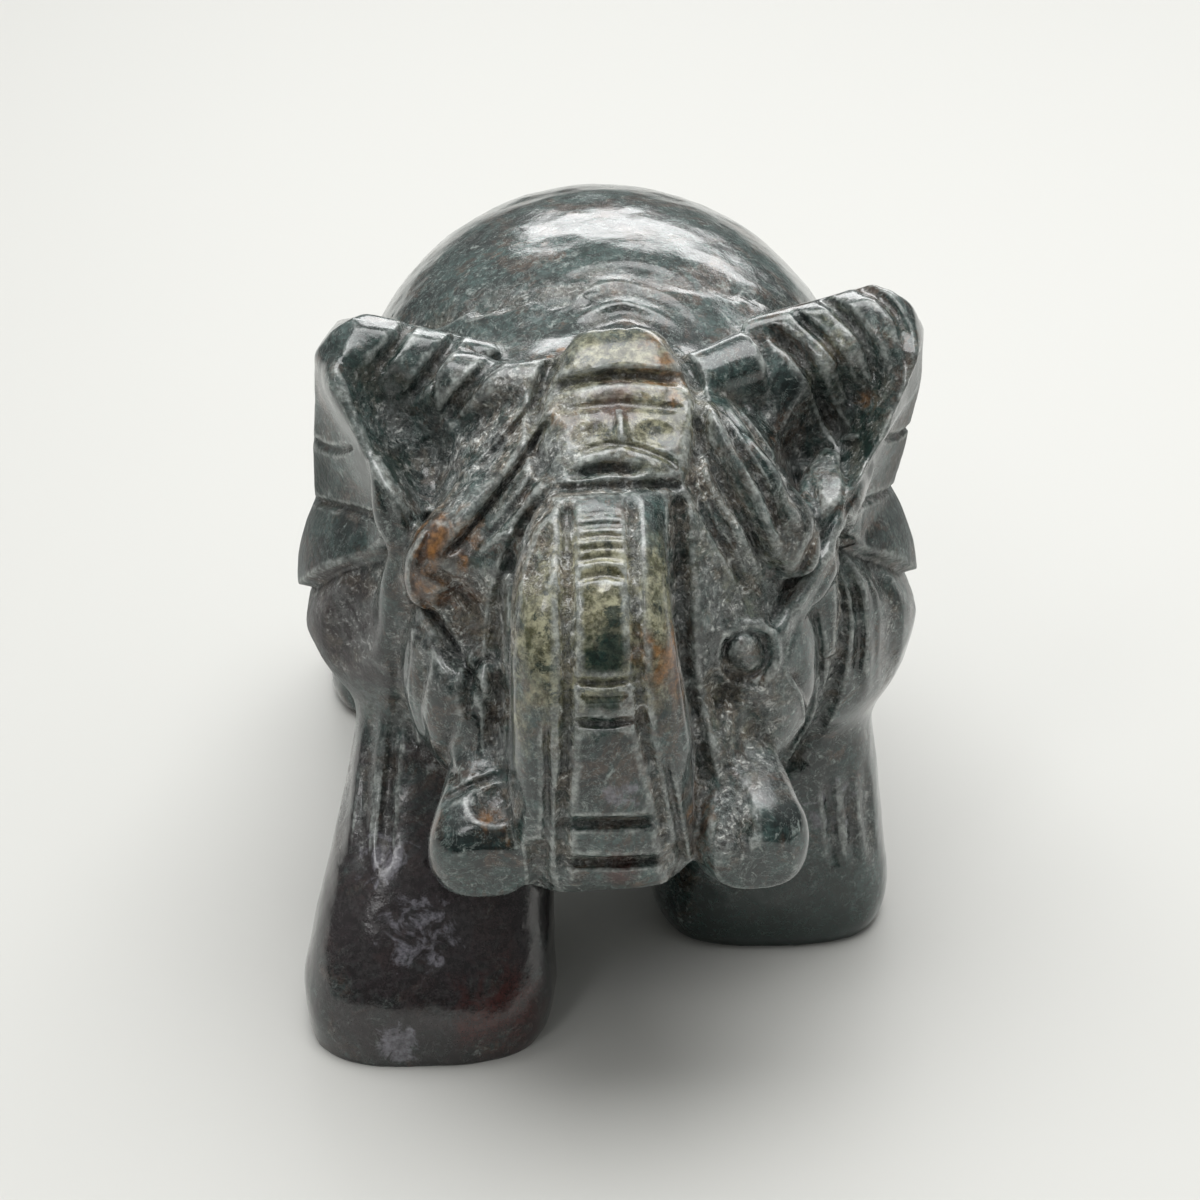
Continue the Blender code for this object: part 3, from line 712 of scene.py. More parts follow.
@dataclass
class Trunk(CarvedPart):
    """Trunk raised to the forehead, its curled tip, and a stub of tusk on each side."""

    minerals = (
        *spots(
            Tint.OLIVE,
            (-1.2, -22.0, 26.5, 5.4, 1.0), (-4.0, -22.0, 22.0, 3.0, 0.7),
            (0.6, -12.0, 32.5, 5.0, 1.0),
        ),
        *spots(Tint.MOSS, (-0.6, -24.0, 22.6, 1.6, 0.8), (-0.8, -24.0, 25.8, 2.0, 1.0)),
        *spots(
            Tint.RUST,
            (2.6, -11.0, 33.0, 2.2, 0.7), (-2.0, -13.2, 32.0, 1.6, 0.6),
            (2.2, -22.0, 24.2, 1.9, 1.0), (1.1, -23.5, 25.6, 1.3, 0.9),
            (3.2, -21.5, 16.4, 1.5, 0.9), (-3.7, -22.5, 23.1, 0.9, 1.0),
            (-5.7, -21.5, 15.6, 1.2, 0.7), (3.0, -13.0, 33.0, 1.2, 0.7),
        ),
        *spots(Tint.GARNET, (0.2, -13.0, 33.2, 2.0, 0.9), (-0.1, -23.0, 14.2, 1.5, 0.8)),
        *spots(Tint.LAVENDER, (-0.1, -23.8, 18.8, 1.3, 0.8)),
    )
    limb: Limb = Limb(
        (
            (-0.7, -19.2, 12.9, 4.2, 3.3),
            (-0.8, -19.9, 15.5, 4.3, 3.8),
            (-0.9, -20.5, 20, 4.1, 3.8),
            (-1.2, -20.0, 24.2, 3.7, 3.5),
            (-1.1, -18.3, 26.8, 3.4, 2.9),
            (-0.4, -15.8, 28.2, 2.7, 2.3),
            (0.1, -13.0, 29.0, 2.3, 2.0),
        ),
        3.6,
    )
    tip: Limb = Limb(
        (
            (0.3, -15.8, 28.6, 3.0, 1.7),
            (0.3, -14.0, 29.3, 3.2, 2.1),
            (0.5, -11.6, 30.9, 3.2, 2.2),
            (0.6, -9.4, 32.5, 3.0, 2.1),
            (0.6, -8.0, 33.5, 2.1, 1.5),
        ),
        3.0,
    )
    tusk: Limb = Limb(
        (
            (5.3, -14.0, 17.2, 1.9, 2.2),
            (5.7, -17.0, 15.2, 2.2, 2.4),
            (6.1, -19.8, 13.9, 2.6, 2.7),
            (6.3, -21.2, 13.4, 2.6, 2.5),
            (6.3, -22.2, 13.1, 1.9, 1.7),
        )
    )

    def add_to(self, mesh: bmesh.types.BMesh) -> None:
        """Adds the part's rough form to a mesh."""
        self.limb.add_to(mesh)
        self.tip.add_to(mesh)
        for side in Side:
            self.tusk.on(side).add_to(mesh)

    def deep_cuts(self) -> Drawing:
        """Deep creases where the trunk, its tip and the tusks meet the face."""
        cuts: list[Stroke] = [
            Groove(((-2.9, 17.4), (-4.1, 15.9), (-5.3, 12.4), (-5.6, 8.0), (-5.7, 5.6)),
                   1.2, 0.8, MATT),
            Groove(((2.9, 17.6), (2.9, 13.4), (3.0, 10.0), (3.5, 7.6), (4.1, 4.0)), 1.2, 0.8, MATT),
            Groove(((-3.2, 18.4), (-3.5, 20.2), (-3.2, 22.4), (-2.3, 24.4)), 1.0, 0.8, MATT),
            Groove(((3.8, 18.4), (4.1, 20.8), (4.1, 23.2), (2.9, 25.0)), 1.0, 0.8, MATT),
            Groove(((-3.9, 2.0), (-3.6, -0.8)), 1.4, 1.1, SATIN, 0.4),
            Groove(((2.6, 1.8), (2.9, -1.0)), 1.4, 1.1, SATIN, 0.4),
        ]
        return [(Facing.FACE, cuts)]

    def fine_cuts(self) -> Drawing:
        """The ringed band, the curled tip's mouth and the tusks' recesses."""
        return [(Facing.FACE, self.band_cuts() + self.tip_cuts() + self.tusk_cuts())]

    def band_cuts(self) -> list[Stroke]:
        """The long grooves beside the band and the rings across it."""
        left = ((-2.2, 17.2), (-2.4, 12.6), (-2.5, 7.4), (-2.7, 3.8), (-2.8, -0.2))
        right = ((0.7, 17.2), (0.6, 12.6), (0.8, 7.4), (1.6, 3.8), (2.2, -0.2))
        cuts: list[Stroke] = [
            Groove(left, 0.9, 0.6, MATT),
            Groove(right, 0.8, 0.45, MATT),
            Groove(((-3.4, 7.2), (-3.4, 3.8), (-3.5, 0.6)), 0.5, 0.45),
            Groove(((1.8, 5.6), (2.3, 3.4), (3.0, 0.4)), 0.5, 0.45),
            Groove(((2.3, 16.8), (2.5, 12.4), (2.7, 8.6), (3.1, 5.6)), 0.7, -0.25, GLOSSY),
            Groove(((-3.3, 16.6), (-4.3, 14.0), (-4.8, 10.6), (-4.9, 7.0)), 0.7, -0.25, GLOSSY),
            Groove(((2.9, 3.6), (3.3, 1.8), (3.6, 0.6)), 0.5, 0.35),
        ]
        for height, depth in ((16.4, 0.1), (15.9, 0.12), (15.4, 0.14), (14.9, 0.14)):
            cuts.append(Groove(((-2.1, height), (-0.6, height + 0.15), (0.5, height)), 0.4, depth))
        for height, depth in ((14.3, 0.3), (13.5, 0.32)):
            path = ((-2.2, height), (-0.7, height + 0.25), (0.5, height))
            cuts.append(Fold(path, 0.7, depth, GLOSSY))
        for height in (9.2, 7.4):
            cuts.append(Groove(((-2.4, height), (-0.8, height - 0.15), (0.6, height)), 0.55, 0.45))
        cuts.append(Fold(((-2.2, 8.5), (-0.8, 8.4), (0.5, 8.5)), 0.5, 0.2, GLOSSY))
        for height, reach in ((2.8, 1.6), (0.9, 2.0)):
            cuts.append(Groove(((-2.7, height), (0, height - 0.1), (reach, height)), 0.75, 0.75))
        return cuts

    def tip_cuts(self) -> list[Stroke]:
        """The ledges and the mouth of the curled tip."""
        return [
            Groove(((-2.9, 17.7), (3.2, 17.9)), 0.8, 0.6, MATT),
            Groove(((-1.7, 18.4), (-0.4, 18.7), (1.2, 18.5)), 0.8, 0.75, MATT),
            Hollow((-1.0, 20.2), (1.1, 0.8), 0.35, 0, GLOSSY),
            Hollow((1.9, 20.2), (1.1, 0.8), 0.3, 0, GLOSSY),
            Groove(((-1.7, 19.4), (0.2, 19.8), (2.2, 19.2), (3.0, 18.6)), 0.5, 0.25, GLOSSY),
            Groove(((0.4, 19.4), (0.4, 21.6)), 0.6, -0.3, GLOSSY),
            Groove(((-2.4, 21.5), (0.4, 21.7), (3.2, 21.4)), 0.6, 0.2, GLOSSY),
            Groove(((-2.6, 22.7), (0.4, 23.1), (3.4, 22.9)), 0.9, 0.7),
        ]

    def tusk_cuts(self) -> list[Stroke]:
        """The cut across the right tusk and the recess in each."""
        return [
            Groove(((-8.3, 3.4), (-7.2, 4.2), (-5.4, 4.8)), 0.5, 0.4),
            Hollow((-5.7, 3.6), (1.4, 1.1), 0.7, 0, MATT),
            Hollow((5.2, 2.4), (1.1, 2.3), 0.7, 0, MATT),
        ]


@dataclass
class Ears(CarvedPart):
    """Fan ears held out from the neck, falling towards the head, with folds below their rims.

    Args:
        levels: Level sections from the lower corner up: a height, then the rim, outer front,
            outer rear, inner rear and inner front corners in plan.
        foot_offset: How far each ear stands out below, the right one and the left one.
        top_offset: How far each stands out above.
        offset_from: The height from which it goes over from one to the other.
        offset_to: The height at which it has done so.
        lift: How much each is raised at its top.
        lift_from: The height from which it is raised.
        fall: How much the top falls for each unit towards the head.
        neck_fold: The fold below each rim.
        eye_fold: The fold that carries the left ear's rim on to the eye.
    """

    minerals = (
        *spots(
            Tint.MOSS,
            (14.0, -7.0, 31.0, 2.6, 1.0), (12.0, -9.5, 28.5, 3.0, 0.9),
            (-10.5, -10.5, 28.5, 2.8, 0.9), (-11.0, -8.0, 32.0, 3.4, 0.8),
            # These two moss spots darken the ears' outer sides: partly the stone's own moss, partly
            # painted shade and painted dark reflection.
            (15.5, -3.0, 25.0, 7.0, 0.8), (-15.5, -3.0, 25.5, 7.0, 0.8),
        ),
        *spots(Tint.RUST, (12.9, -8.0, 30.3, 1.0, 0.8)),
        *spots(Tint.OLIVE, (11.0, -7.0, 32.5, 3.4, 0.5)),
        *spots(Tint.GARNET, (-10.0, -9.5, 30.0, 1.6, 0.6)),
        *spots(Tint.UNPOLISHED, (-17.0, -4.0, 24.0, 7.0, 1.0), (18.0, -4.0, 24.0, 7.0, 0.8)),
    )
    levels: tuple[tuple[float, Vec2, Vec2, Vec2, Vec2, Vec2], ...] = (
        (20.0, (13.0, -6.5), (13.8, -5.0), (13.9, 0.0), (9.0, 0.0), (9.0, -5.0)),
        (23.0, (12.2, -9.6), (14.2, -5.0), (14.3, 1.6), (8.0, 1.6), (8.0, -8.0)),
        (26.4, (10.0, -12.8), (14.7, -5.0), (14.7, 2.2), (7.0, 2.2), (7.4, -9.5)),
        (29.4, (12.2, -11.2), (14.9, -5.5), (14.6, 1.2), (6.6, 1.0), (6.0, -9.0)),
        (31.9, (14.0, -9.2), (14.8, -5.8), (13.8, -1.2), (6.0, -2.4), (5.2, -8.0)),
        (33.3, (13.1, -7.9), (13.9, -6.2), (12.6, -3.6), (6.0, -4.6), (5.6, -6.8)),
        (34.1, (12.5, -6.9), (12.9, -6.1), (12.2, -5.0), (6.0, -5.5), (5.8, -6.2)),
    )
    foot_offset: Vec2 = (0.1, 0.3)
    top_offset: Vec2 = (-0.9, 0.9)
    offset_from: float = 23
    offset_to: float = 29.4
    lift: Vec2 = (0.0, 1.0)
    lift_from: float = 26.4
    fall: float = 0.24
    neck_fold: Limb = Limb(
        (
            (10.9, -11.2, 29.4, 0.4, 0.5),
            (10.2, -11.8, 27.6, 1.0, 1.2),
            (9.8, -12.0, 24, 1.2, 1.5),
            (10.4, -10.8, 19, 1.4, 2.0),
        )
    )
    eye_fold: Limb = Limb(
        (
            (12.8, -9.4, 27.4, 0.3, 0.4),
            (11.1, -11.5, 25.4, 0.7, 0.9),
            (9.7, -13.6, 23.8, 1.0, 1.2),
            (8.4, -15.0, 22.6, 0.7, 0.9),
        )
    )

    def add_to(self, mesh: bmesh.types.BMesh) -> None:
        """Adds the part's rough form to a mesh."""
        for index, side in enumerate(Side):
            self.add_ear(mesh, side, index)
            self.neck_fold.on(side).add_to(mesh)
        self.eye_fold.add_to(mesh)

    def add_ear(self, mesh: bmesh.types.BMesh, side: Side, index: int) -> None:
        """Adds one ear.

        Args:
            mesh: The mesh that takes it.
            side: The side that it is on.
            index: Its place in the pairs of sizes.
        """
        top, highest_rim = self.levels[-1][:2]
        ends = (self.foot_offset[index], self.top_offset[index])
        rings = []
        for height, *corners in self.levels:
            share = max(0, height - self.lift_from) / (top - self.lift_from)
            offset = np.interp(height, (self.offset_from, self.offset_to), ends)
            ring = []
            for x, y in corners[:: side.value]:
                lift = self.lift[index] - self.fall * (highest_rim[0] - x)
                ring.append((side.value * (x + offset), y, height + share * lift))
            rings.append(ring)
        skin(mesh, rings)

    def deep_cuts(self) -> Drawing:
        """The scooped front of each ear and the scallops of its top edge."""
        cuts: list[Stroke] = [
            Hollow((-9.4, 20.6), (2.2, 4.6), 2.2, 28),
            Hollow((10.9, 20.6), (2.4, 4.8), 2.4, -34),
            Groove(((-9.0, 26.9), (-9.8, 25.4), (-10.9, 24.0)), 0.9, 0.8, GLOSSY),
            Groove(((-6.8, 26.0), (-8.0, 24.3), (-9.3, 22.7)), 0.9, 0.8, GLOSSY),
            Groove(((-4.7, 24.8), (-6.1, 23.3), (-7.7, 21.6)), 1.1, 0.7, GLOSSY),
            Groove(((8.2, 25.4), (9.3, 24.4), (10.5, 22.3), (11.7, 20.1)), 1.0, 0.8, GLOSSY),
            Groove(((9.2, 26.4), (10.8, 24.6), (12.2, 22.0)), 0.7, 0.45, GLOSSY),
            Groove(((10.6, 27.2), (12.2, 25.3), (13.2, 23.0)), 0.9, 0.7, GLOSSY),
            Groove(((12.2, 28.0), (13.8, 26.3), (14.4, 24.6)), 0.9, 0.6, GLOSSY),
            Groove(((-13.2, 24.8), (-12.2, 22.6), (-11.3, 20.6), (-10.2, 18.4), (-9.6, 16.6)),
                   1.1, -0.3, GLOSSY),
        ]
        return [(Facing.FACE, cuts)]

    def fine_cuts(self) -> Drawing:
        """On each flank the ear's flap, its engraved lines and the fold at the front leg."""
        flap = (
            *((-3.5, 33.6), (-0.5, 31.6), (2.4, 28.0), (2.8, 24.0)),
            *((1.0, 20.4), (-5.0, 19.2), (-9.6, 22.6), (-12.6, 26.4)),
        )
        cuts: list[Stroke] = [
            Fold(flap, 2.2, 0.9),
            Groove(((-11.5, 26.0), (-8.0, 25.0), (-3.5, 23.4)), 0.5, 0.35),
            Groove(((-9.5, 29.0), (-6.5, 27.6), (-1.5, 27.0)), 0.5, 0.3),
            Groove(((6.6, 18.0), (6.2, 15.0), (7.4, 12.0)), 1.4, 0.5, taper=2),
        ]
        return [(Facing.RIGHT_FLANK, cuts), (Facing.LEFT_FLANK, cuts)]


def first_reached(flat: Array, height: Array) -> NDArray[np.bool_]:
    """Whether the tool, coming straight at the plane, meets each point before anything else.

    Args:
        flat: The points' two coordinates on the plane.
        height: How far each stands towards the tool.

    Returns:
        One truth value for each point.
    """
    cell = np.floor((flat - flat.min(axis=0)) / TOOL_CELL).astype(int)
    nearest = np.full(cell.max(axis=0) + 1, -np.inf)
    np.maximum.at(nearest, (cell[:, 0], cell[:, 1]), height)
    return height > nearest[cell[:, 0], cell[:, 1]] - TOOL_REACH


def averaged(points: Array, edges: NDArray[np.int32], rounds: int) -> Array:
    """Smooths points by their neighbours.

    Args:
        points: The places or values, one a row.
        edges: The pairs of points that are neighbours.
        rounds: How often each moves halfway to the middle of its neighbours.

    Returns:
        The smoothed points.
    """
    first, second = edges[:, 0], edges[:, 1]
    size = len(points)
    count = np.bincount(edges.ravel(), minlength=size)[:, None]
    for _ in range(rounds):
        total = np.empty_like(points)
        for axis in range(points.shape[1]):
            total[:, axis] = np.bincount(first, points[second, axis], size)
            total[:, axis] += np.bincount(second, points[first, axis], size)
        points = (points + total / count) / 2
    return points


def read(
    collection: bpy.types.bpy_prop_collection, name: str, width: int, kind: type = float
) -> Array:
    """Reads one property of every item of a collection.

    Args:
        collection: The items.
        name: The property's name.
        width: How many numbers it holds.
        kind: The kind of number.

    Returns:
        The values, one item a row.
    """
    values = np.empty(len(collection) * width, kind)
    collection.foreach_get(name, values)
    return values.reshape(-1, width)


@dataclass
class Carver:
    """The stone's points under the tools, with how matt each is left.

    Args:
        points: The places of the points in the layout grid.
        ground: How matt each point is, from 0 to 1.
        edges: The pairs of points that are neighbours.
        full_bite: The bite from which a tool leaves its full mark.
        soft_rounds: How far the edge of what a tool reaches is softened.
        least_reach: The reach below which it leaves the stone alone.
    """

    points: Array
    ground: Array
    edges: NDArray[np.int32]
    full_bite: float = 0.25
    soft_rounds: int = 5
    least_reach: float = 0.02

    def follow(self, drawing: Drawing) -> None:
        """Cuts every stroke of a drawing."""
        for facing, strokes in drawing:
            self.cut(facing.value, strokes)

    def cut(self, plane: DrawingPlane, strokes: Sequence[Stroke]) -> None:
        """Moves the points that the tool reaches by the sum of the strokes.

        Args:
            plane: The plane that the strokes are drawn on.
            strokes: The strokes.
        """
        flat, height = plane.flatten(self.points)
        met = first_reached(flat, height)[:, None].astype(float)
        reached = averaged(met, self.edges, self.soft_rounds)[:, 0]
        depth = np.zeros(len(flat))
        for stroke in strokes:
            low, high = stroke.reach()
            within = np.all((flat > low) & (flat < high), axis=1)
            near = np.flatnonzero((reached > self.least_reach) & within)
            bite = stroke.depth_at(flat[near]) * reached[near]
            depth[near] += bite
            matt = stroke.left.value * np.clip(np.abs(bite) / self.full_bite, 0, 1)
            self.ground[near] = np.maximum(self.ground[near], matt)
        self.points = self.points - depth[:, None] * np.array(plane.out)


class Bench:
    """Lays nodes into one tree and wires them up."""

    def __init__(self, tree: bpy.types.NodeTree) -> None:
        """Takes the tree."""
        self.tree = tree

    def feed(self, socket: bpy.types.NodeSocket, value: object) -> None:
        """Wires a socket to another, or sets it to a plain value."""
        if isinstance(value, bpy.types.NodeSocket):
            self.tree.links.new(value, socket)
        else:
            socket.default_value = value

    def add(
        self, kind: str, wires: dict[str | int, object], **settings: object
    ) -> bpy.types.NodeOutputs:
        """Adds a node.

        Args:
            kind: The kind of node.
            wires: What its sockets get, by name or place.
            settings: Its own settings.

        Returns:
            Its outputs.
        """
        node = self.tree.nodes.new(kind)
        for name, value in settings.items():
            setattr(node, name, value)
        for name, value in wires.items():
            self.feed(node.inputs[name], value)
        return node.outputs

    def calc(self, operation: str, *values: object) -> bpy.types.NodeSocket:
        """The result of one operation on one to three values."""
        return self.add("ShaderNodeMath", dict(enumerate(values)), operation=operation)[0]


class FieldBench(Bench):
    """Lays the nodes of one geometry node tree."""

    def __init__(self, name: str, inputs: Sequence[str]) -> None:
        """Makes the tree.

        Args:
            name: The tree's name.
            inputs: The names of its sizes.
        """
        super().__init__(bpy.data.node_groups.new(name, "GeometryNodeTree"))
        sockets = [("Stone", "INPUT", "NodeSocketGeometry")]
        sockets += [(label, "INPUT", "NodeSocketFloat") for label in inputs]
        sockets += [("Stone", "OUTPUT", "NodeSocketGeometry")]
        for label, way, kind in sockets:
            self.tree.interface.new_socket(label, in_out=way, socket_type=kind)
        self.given = self.add("NodeGroupInput", {})

    def swing(self, size: object, seed: object, detail: float) -> bpy.types.NodeSocket:
        """Noise about zero, its features of the given size."""
        wires = {"W": seed, "Scale": self.calc("DIVIDE", 1.0, size), "Detail": detail}
        noise = self.add("ShaderNodeTexNoise", wires, noise_dimensions="4D")
        return self.calc("SUBTRACT", noise[0], 0.5)

    def kept(self, name: str) -> bpy.types.NodeSocket:
        """The value that the mesh keeps at each point under a name."""
        wires = {"Name": name}
        return self.add("GeometryNodeInputNamedAttribute", wires, data_type="FLOAT")[0]


@dataclass(frozen=True)
class ToolTexture:
    """What hand tools leave: slow ripples all over, and pits where a burr has ground the stone.

    Args:
        ripple_size: The width of the ripples in grid units.
        ripple_height: How far they rise and fall.
        ripple_detail: How many finer layers they have.
        pit_size: The width of the pits.
        pit_depth: How deep they are where the stone is fully ground.
        pit_detail: How many finer layers they have.
        hollow_share: How far a hollow counts as ground stone.
        seed: Which pattern it is.
    """

    ripple_size: float = 2.2
    ripple_height: float = 0.22
    ripple_detail: float = 2.0
    pit_size: float = 0.45
    pit_depth: float = 0.28
    pit_detail: float = 3.0
    hollow_share: float = 0.6
    seed: float = 7.0

    def apply(self, stone: bpy.types.Object, finish: bpy.types.Material) -> None:
        """Puts the texture on a stone.

        Args:
            stone: The stone, with how matt each point is kept on it.
            finish: The material that it gets.
        """
        sizes = {
            "Ripple size": self.ripple_size,
            "Ripple height": self.ripple_height,
            "Pit size": self.pit_size,
            "Pit depth": self.pit_depth,
            "Seed": self.seed,
        }
        bench = FieldBench("tool_texture", tuple(sizes))
        given = bench.given
        ripple = bench.swing(given["Ripple size"], given["Seed"], self.ripple_detail)
        pits = bench.swing(given["Pit size"], given["Seed"], self.pit_detail)
        hollowed = bench.calc("MULTIPLY", bench.kept(HOLLOWED), self.hollow_share)
        worked = bench.calc("MAXIMUM", bench.kept(GROUND), hollowed)
        pitted = bench.calc("MULTIPLY", bench.calc("MULTIPLY", pits, given["Pit depth"]), worked)
        height = bench.calc("MULTIPLY_ADD", ripple, given["Ripple height"], pitted)
        normal = bench.add("GeometryNodeInputNormal", {})[0]
        wires = {0: normal, "Scale": height}
        lift = bench.add("ShaderNodeVectorMath", wires, operation="SCALE")[0]
        wires = {"Geometry": given["Stone"], "Offset": lift}
        moved = bench.add("GeometryNodeSetPosition", wires)[0]
        real = bench.add("GeometryNodeRealizeInstances", {"Geometry": moved})[0]
        wires = {"Geometry": real, "Material": finish}
        dressed = bench.add("GeometryNodeSetMaterial", wires)[0]
        bench.add("NodeGroupOutput", {"Stone": dressed})
        modifier = stone.modifiers.new("Tool texture", "NODES")
        modifier.node_group = bench.tree
        for item in bench.tree.interface.items_tree:
            if item.name in sizes:
                modifier[item.identifier] = sizes[item.name]


@dataclass
class Carving:
    """The whole elephant, from rough forms to the finished stone.

    Args:
        parts: The animal's parts.
        ridge_at: The height in grid units at which an edge counts as a full ridge.
        crease_at: The depth at which a groove counts as a full crease.
        hollow_at: The depth at which the ground between two forms counts as fully hollowed.
        matt_rounds: How far the edges of the matt ground are softened.
        relief_rounds: How far the surface is smoothed to tell ridges and creases.
        hollow_rounds: How far it is smoothed to tell what lies in the hollows.
        texture: The unevenness that the tools leave.
    """

    parts: tuple[CarvedPart, ...]
    ridge_at: float = 0.05
    crease_at: float = 0.05
    hollow_at: float = 0.30
    matt_rounds: int = 3
    relief_rounds: int = 10
    hollow_rounds: int = 90
    texture: ToolTexture = ToolTexture()

    def build(self, finish: bpy.types.Material) -> bpy.types.Object:
        """Builds the stone.

        Args:
            finish: The stone's material.

        Returns:
            The finished mesh object, in metres, in the frame of the CAD part.
        """
        body = self.fused("body", Batch.BODY, ROUGH_CELL, BODY_POLISH)
        stone = self.fused("carved_stone", Batch.HEAD, CARVED_CELL, HEAD_POLISH, body)
        self.carve(stone)
        self.stain(stone)
        self.texture.apply(stone, finish)
        self.bake(stone)
        self.thin_out(stone)
        self.stand_on_soles(stone)
        self.fit_to_frame(stone)
        stone.data.shade_smooth()
        return stone

    def fused(
        self,
        name: str,
        batch: Batch,
        cell: float,
        polish: int,
        base: bpy.types.Object | None = None,
    ) -> bpy.types.Object:
        """One closed mesh object from overlapping forms.

        Args:
            name: The object's name.
            batch: The parts to fuse.
            cell: The size of its faces in grid units.
            polish: How often it is smoothed.
            base: An object that it takes in and removes.

        Returns:
            The fused object.
        """
        mesh = bmesh.new()
        if base:
            mesh.from_mesh(base.data)
        for part in self.parts:
            if part.batch is batch:
                part.add_to(mesh)
        data = bpy.data.meshes.new(name)
        mesh.to_mesh(data)
        mesh.free()
        obj = bpy.data.objects.new(name, data)
        bpy.context.scene.collection.objects.link(obj)
        remesh = obj.modifiers.new("Fuse", "REMESH")
        remesh.mode = "VOXEL"
        remesh.voxel_size = cell
        smooth = obj.modifiers.new("Polish", "SMOOTH")
        smooth.factor = POLISH_FACTOR
        smooth.iterations = polish
        if base is None:
            finer = obj.modifiers.new("Finer", "SUBSURF")
            finer.levels = finer.render_levels = BODY_SMOOTHING
        else:
            bpy.data.objects.remove(base, do_unlink=True)
        self.bake(obj)
        LOG.info("%s fused into %d faces", name, len(obj.data.polygons))
        return obj

    @staticmethod
    def bake(obj: bpy.types.Object) -> None:
        """Turns an object's modifiers into its mesh."""
        bpy.context.view_layer.update()
        graph = bpy.context.evaluated_depsgraph_get()
        made = bpy.data.meshes.new_from_object(obj.evaluated_get(graph))
        obj.modifiers.clear()
        obj.data = made

    def carve(self, stone: bpy.types.Object) -> None:
        """Cuts every stroke, the broad ones first, and keeps what the finish reads."""
        points = read(stone.data.vertices, "co", 3)
        edges = read(stone.data.edges, "vertices", 2, np.int32)
        carver = Carver(points, np.zeros(len(points)), edges)
        for part in self.parts:
            carver.follow(part.deep_cuts())
        for part in self.parts:
            carver.follow(part.fine_cuts())
        stone.data.vertices.foreach_set("co", carver.points.ravel())
        stone.data.update()
        normals = read(stone.data.vertices, "normal", 3)
        soft = averaged(carver.points, edges, self.relief_rounds)
        relief = ((carver.points - soft) * normals).sum(axis=1)
        softer = averaged(soft, edges, self.hollow_rounds)
        broad = ((carver.points - softer) * normals).sum(axis=1)
        LOG.info("relief runs from %.3f to %.3f", *np.percentile(relief, (2, 98)))
        LOG.info("broad relief runs from %.3f to %.3f", *np.percentile(broad, (2, 98)))
        ground = averaged(carver.ground[:, None], edges, self.matt_rounds)[:, 0]
        self.keep(stone, GROUND, ground)
        self.keep(stone, RIDGE, np.clip(relief / self.ridge_at, 0, 1))
        self.keep(stone, CREASE, np.clip(-relief / self.crease_at, 0, 1))
        self.keep(stone, HOLLOWED, np.clip(-broad / self.hollow_at, 0, 1))

    @staticmethod
    def keep(stone: bpy.types.Object, name: str, values: Array) -> None:
        """Keeps one value for each point as an attribute of that name."""
        attribute = stone.data.attributes.new(name, "FLOAT", "POINT")
        attribute.data.foreach_set("value", values.astype(np.float32))

    def stain(self, stone: bpy.types.Object) -> None:
        """Keeps how much of each tint every point holds."""
        points = read(stone.data.vertices, "co", 3)
        share = {tint: np.zeros(len(points)) for tint in Tint}
        for part in self.parts:
            for spot in part.minerals:
                away = np.linalg.norm(points - np.array(spot.centre), axis=1) / spot.radius
                faded = spot.strength * np.clip(STAIN_FADE - away, 0, 1)
                share[spot.tint] = np.maximum(share[spot.tint], faded)
        for tint, values in share.items():
            self.keep(stone, tint.value, values)

    def thin_out(self, stone: bpy.types.Object) -> None:
        """Keeps the triangles where the carving needs them."""
        stone.data.calc_loop_triangles()
        thin = stone.modifiers.new("Thin out", "DECIMATE")
        thin.ratio = min(1, TRIANGLES / len(stone.data.loop_triangles))
        thin.use_collapse_triangulate = True
        self.bake(stone)

    @staticmethod
    def stand_on_soles(stone: bpy.types.Object) -> None:
        """Cuts the feet level at the ground and closes the four soles."""
        mesh = bmesh.new()
        mesh.from_mesh(stone.data)
        everything = mesh.verts[:] + mesh.edges[:] + mesh.faces[:]
        ground = {"plane_co": (0, 0, 0), "plane_no": (0, 0, 1)}
        cut = bmesh.ops.bisect_plane(mesh, geom=everything, clear_inner=True, **ground)
        edges = [item for item in cut["geom_cut"] if isinstance(item, bmesh.types.BMEdge)]
        soles = bmesh.ops.contextual_create(mesh, geom=edges)["faces"]
        bmesh.ops.triangulate(mesh, faces=soles)
        bmesh.ops.recalc_face_normals(mesh, faces=mesh.faces[:])
        mesh.to_mesh(stone.data)
        mesh.free()

    @staticmethod
    def fit_to_frame(stone: bpy.types.Object) -> None:
        """From the layout grid to metres, filling the box of the CAD part."""
        points = read(stone.data.vertices, "co", 3)
        low, high = points.min(axis=0), points.max(axis=0)
        box_low, box_high = (np.array(corner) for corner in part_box(NODE))
        scale = (box_high - box_low) / (high - low)
        LOG.info("a grid unit is %.5f, %.5f and %.5f mm", *(scale * 1000))
        from_grid, to_box = Matrix.Translation(-Vector(low)), Matrix.Translation(Vector(box_low))
        stone.data.transform(to_box @ Matrix.Diagonal((*scale, 1)) @ from_grid)


@dataclass(frozen=True)
class Cloud:
    """A pattern of noise on the stone, and how what it places fades in over it.

    Args:
        size: The size of its largest features in millimetres.
        seed: Which pattern it is.
        detail: How many finer layers it has.
        rough: The share of the finer layers.
        warp: How much it is distorted.
        low: The value at which what it places begins.
        high: The value at which that is complete.
        start: How much of it there is below the low value.
        end: How much there is above the high one.
    """

    size: float
    seed: float
    detail: float
    rough: float
    warp: float = 0
    low: float = 0
    high: float = 1
    start: float = 0
    end: float = 1


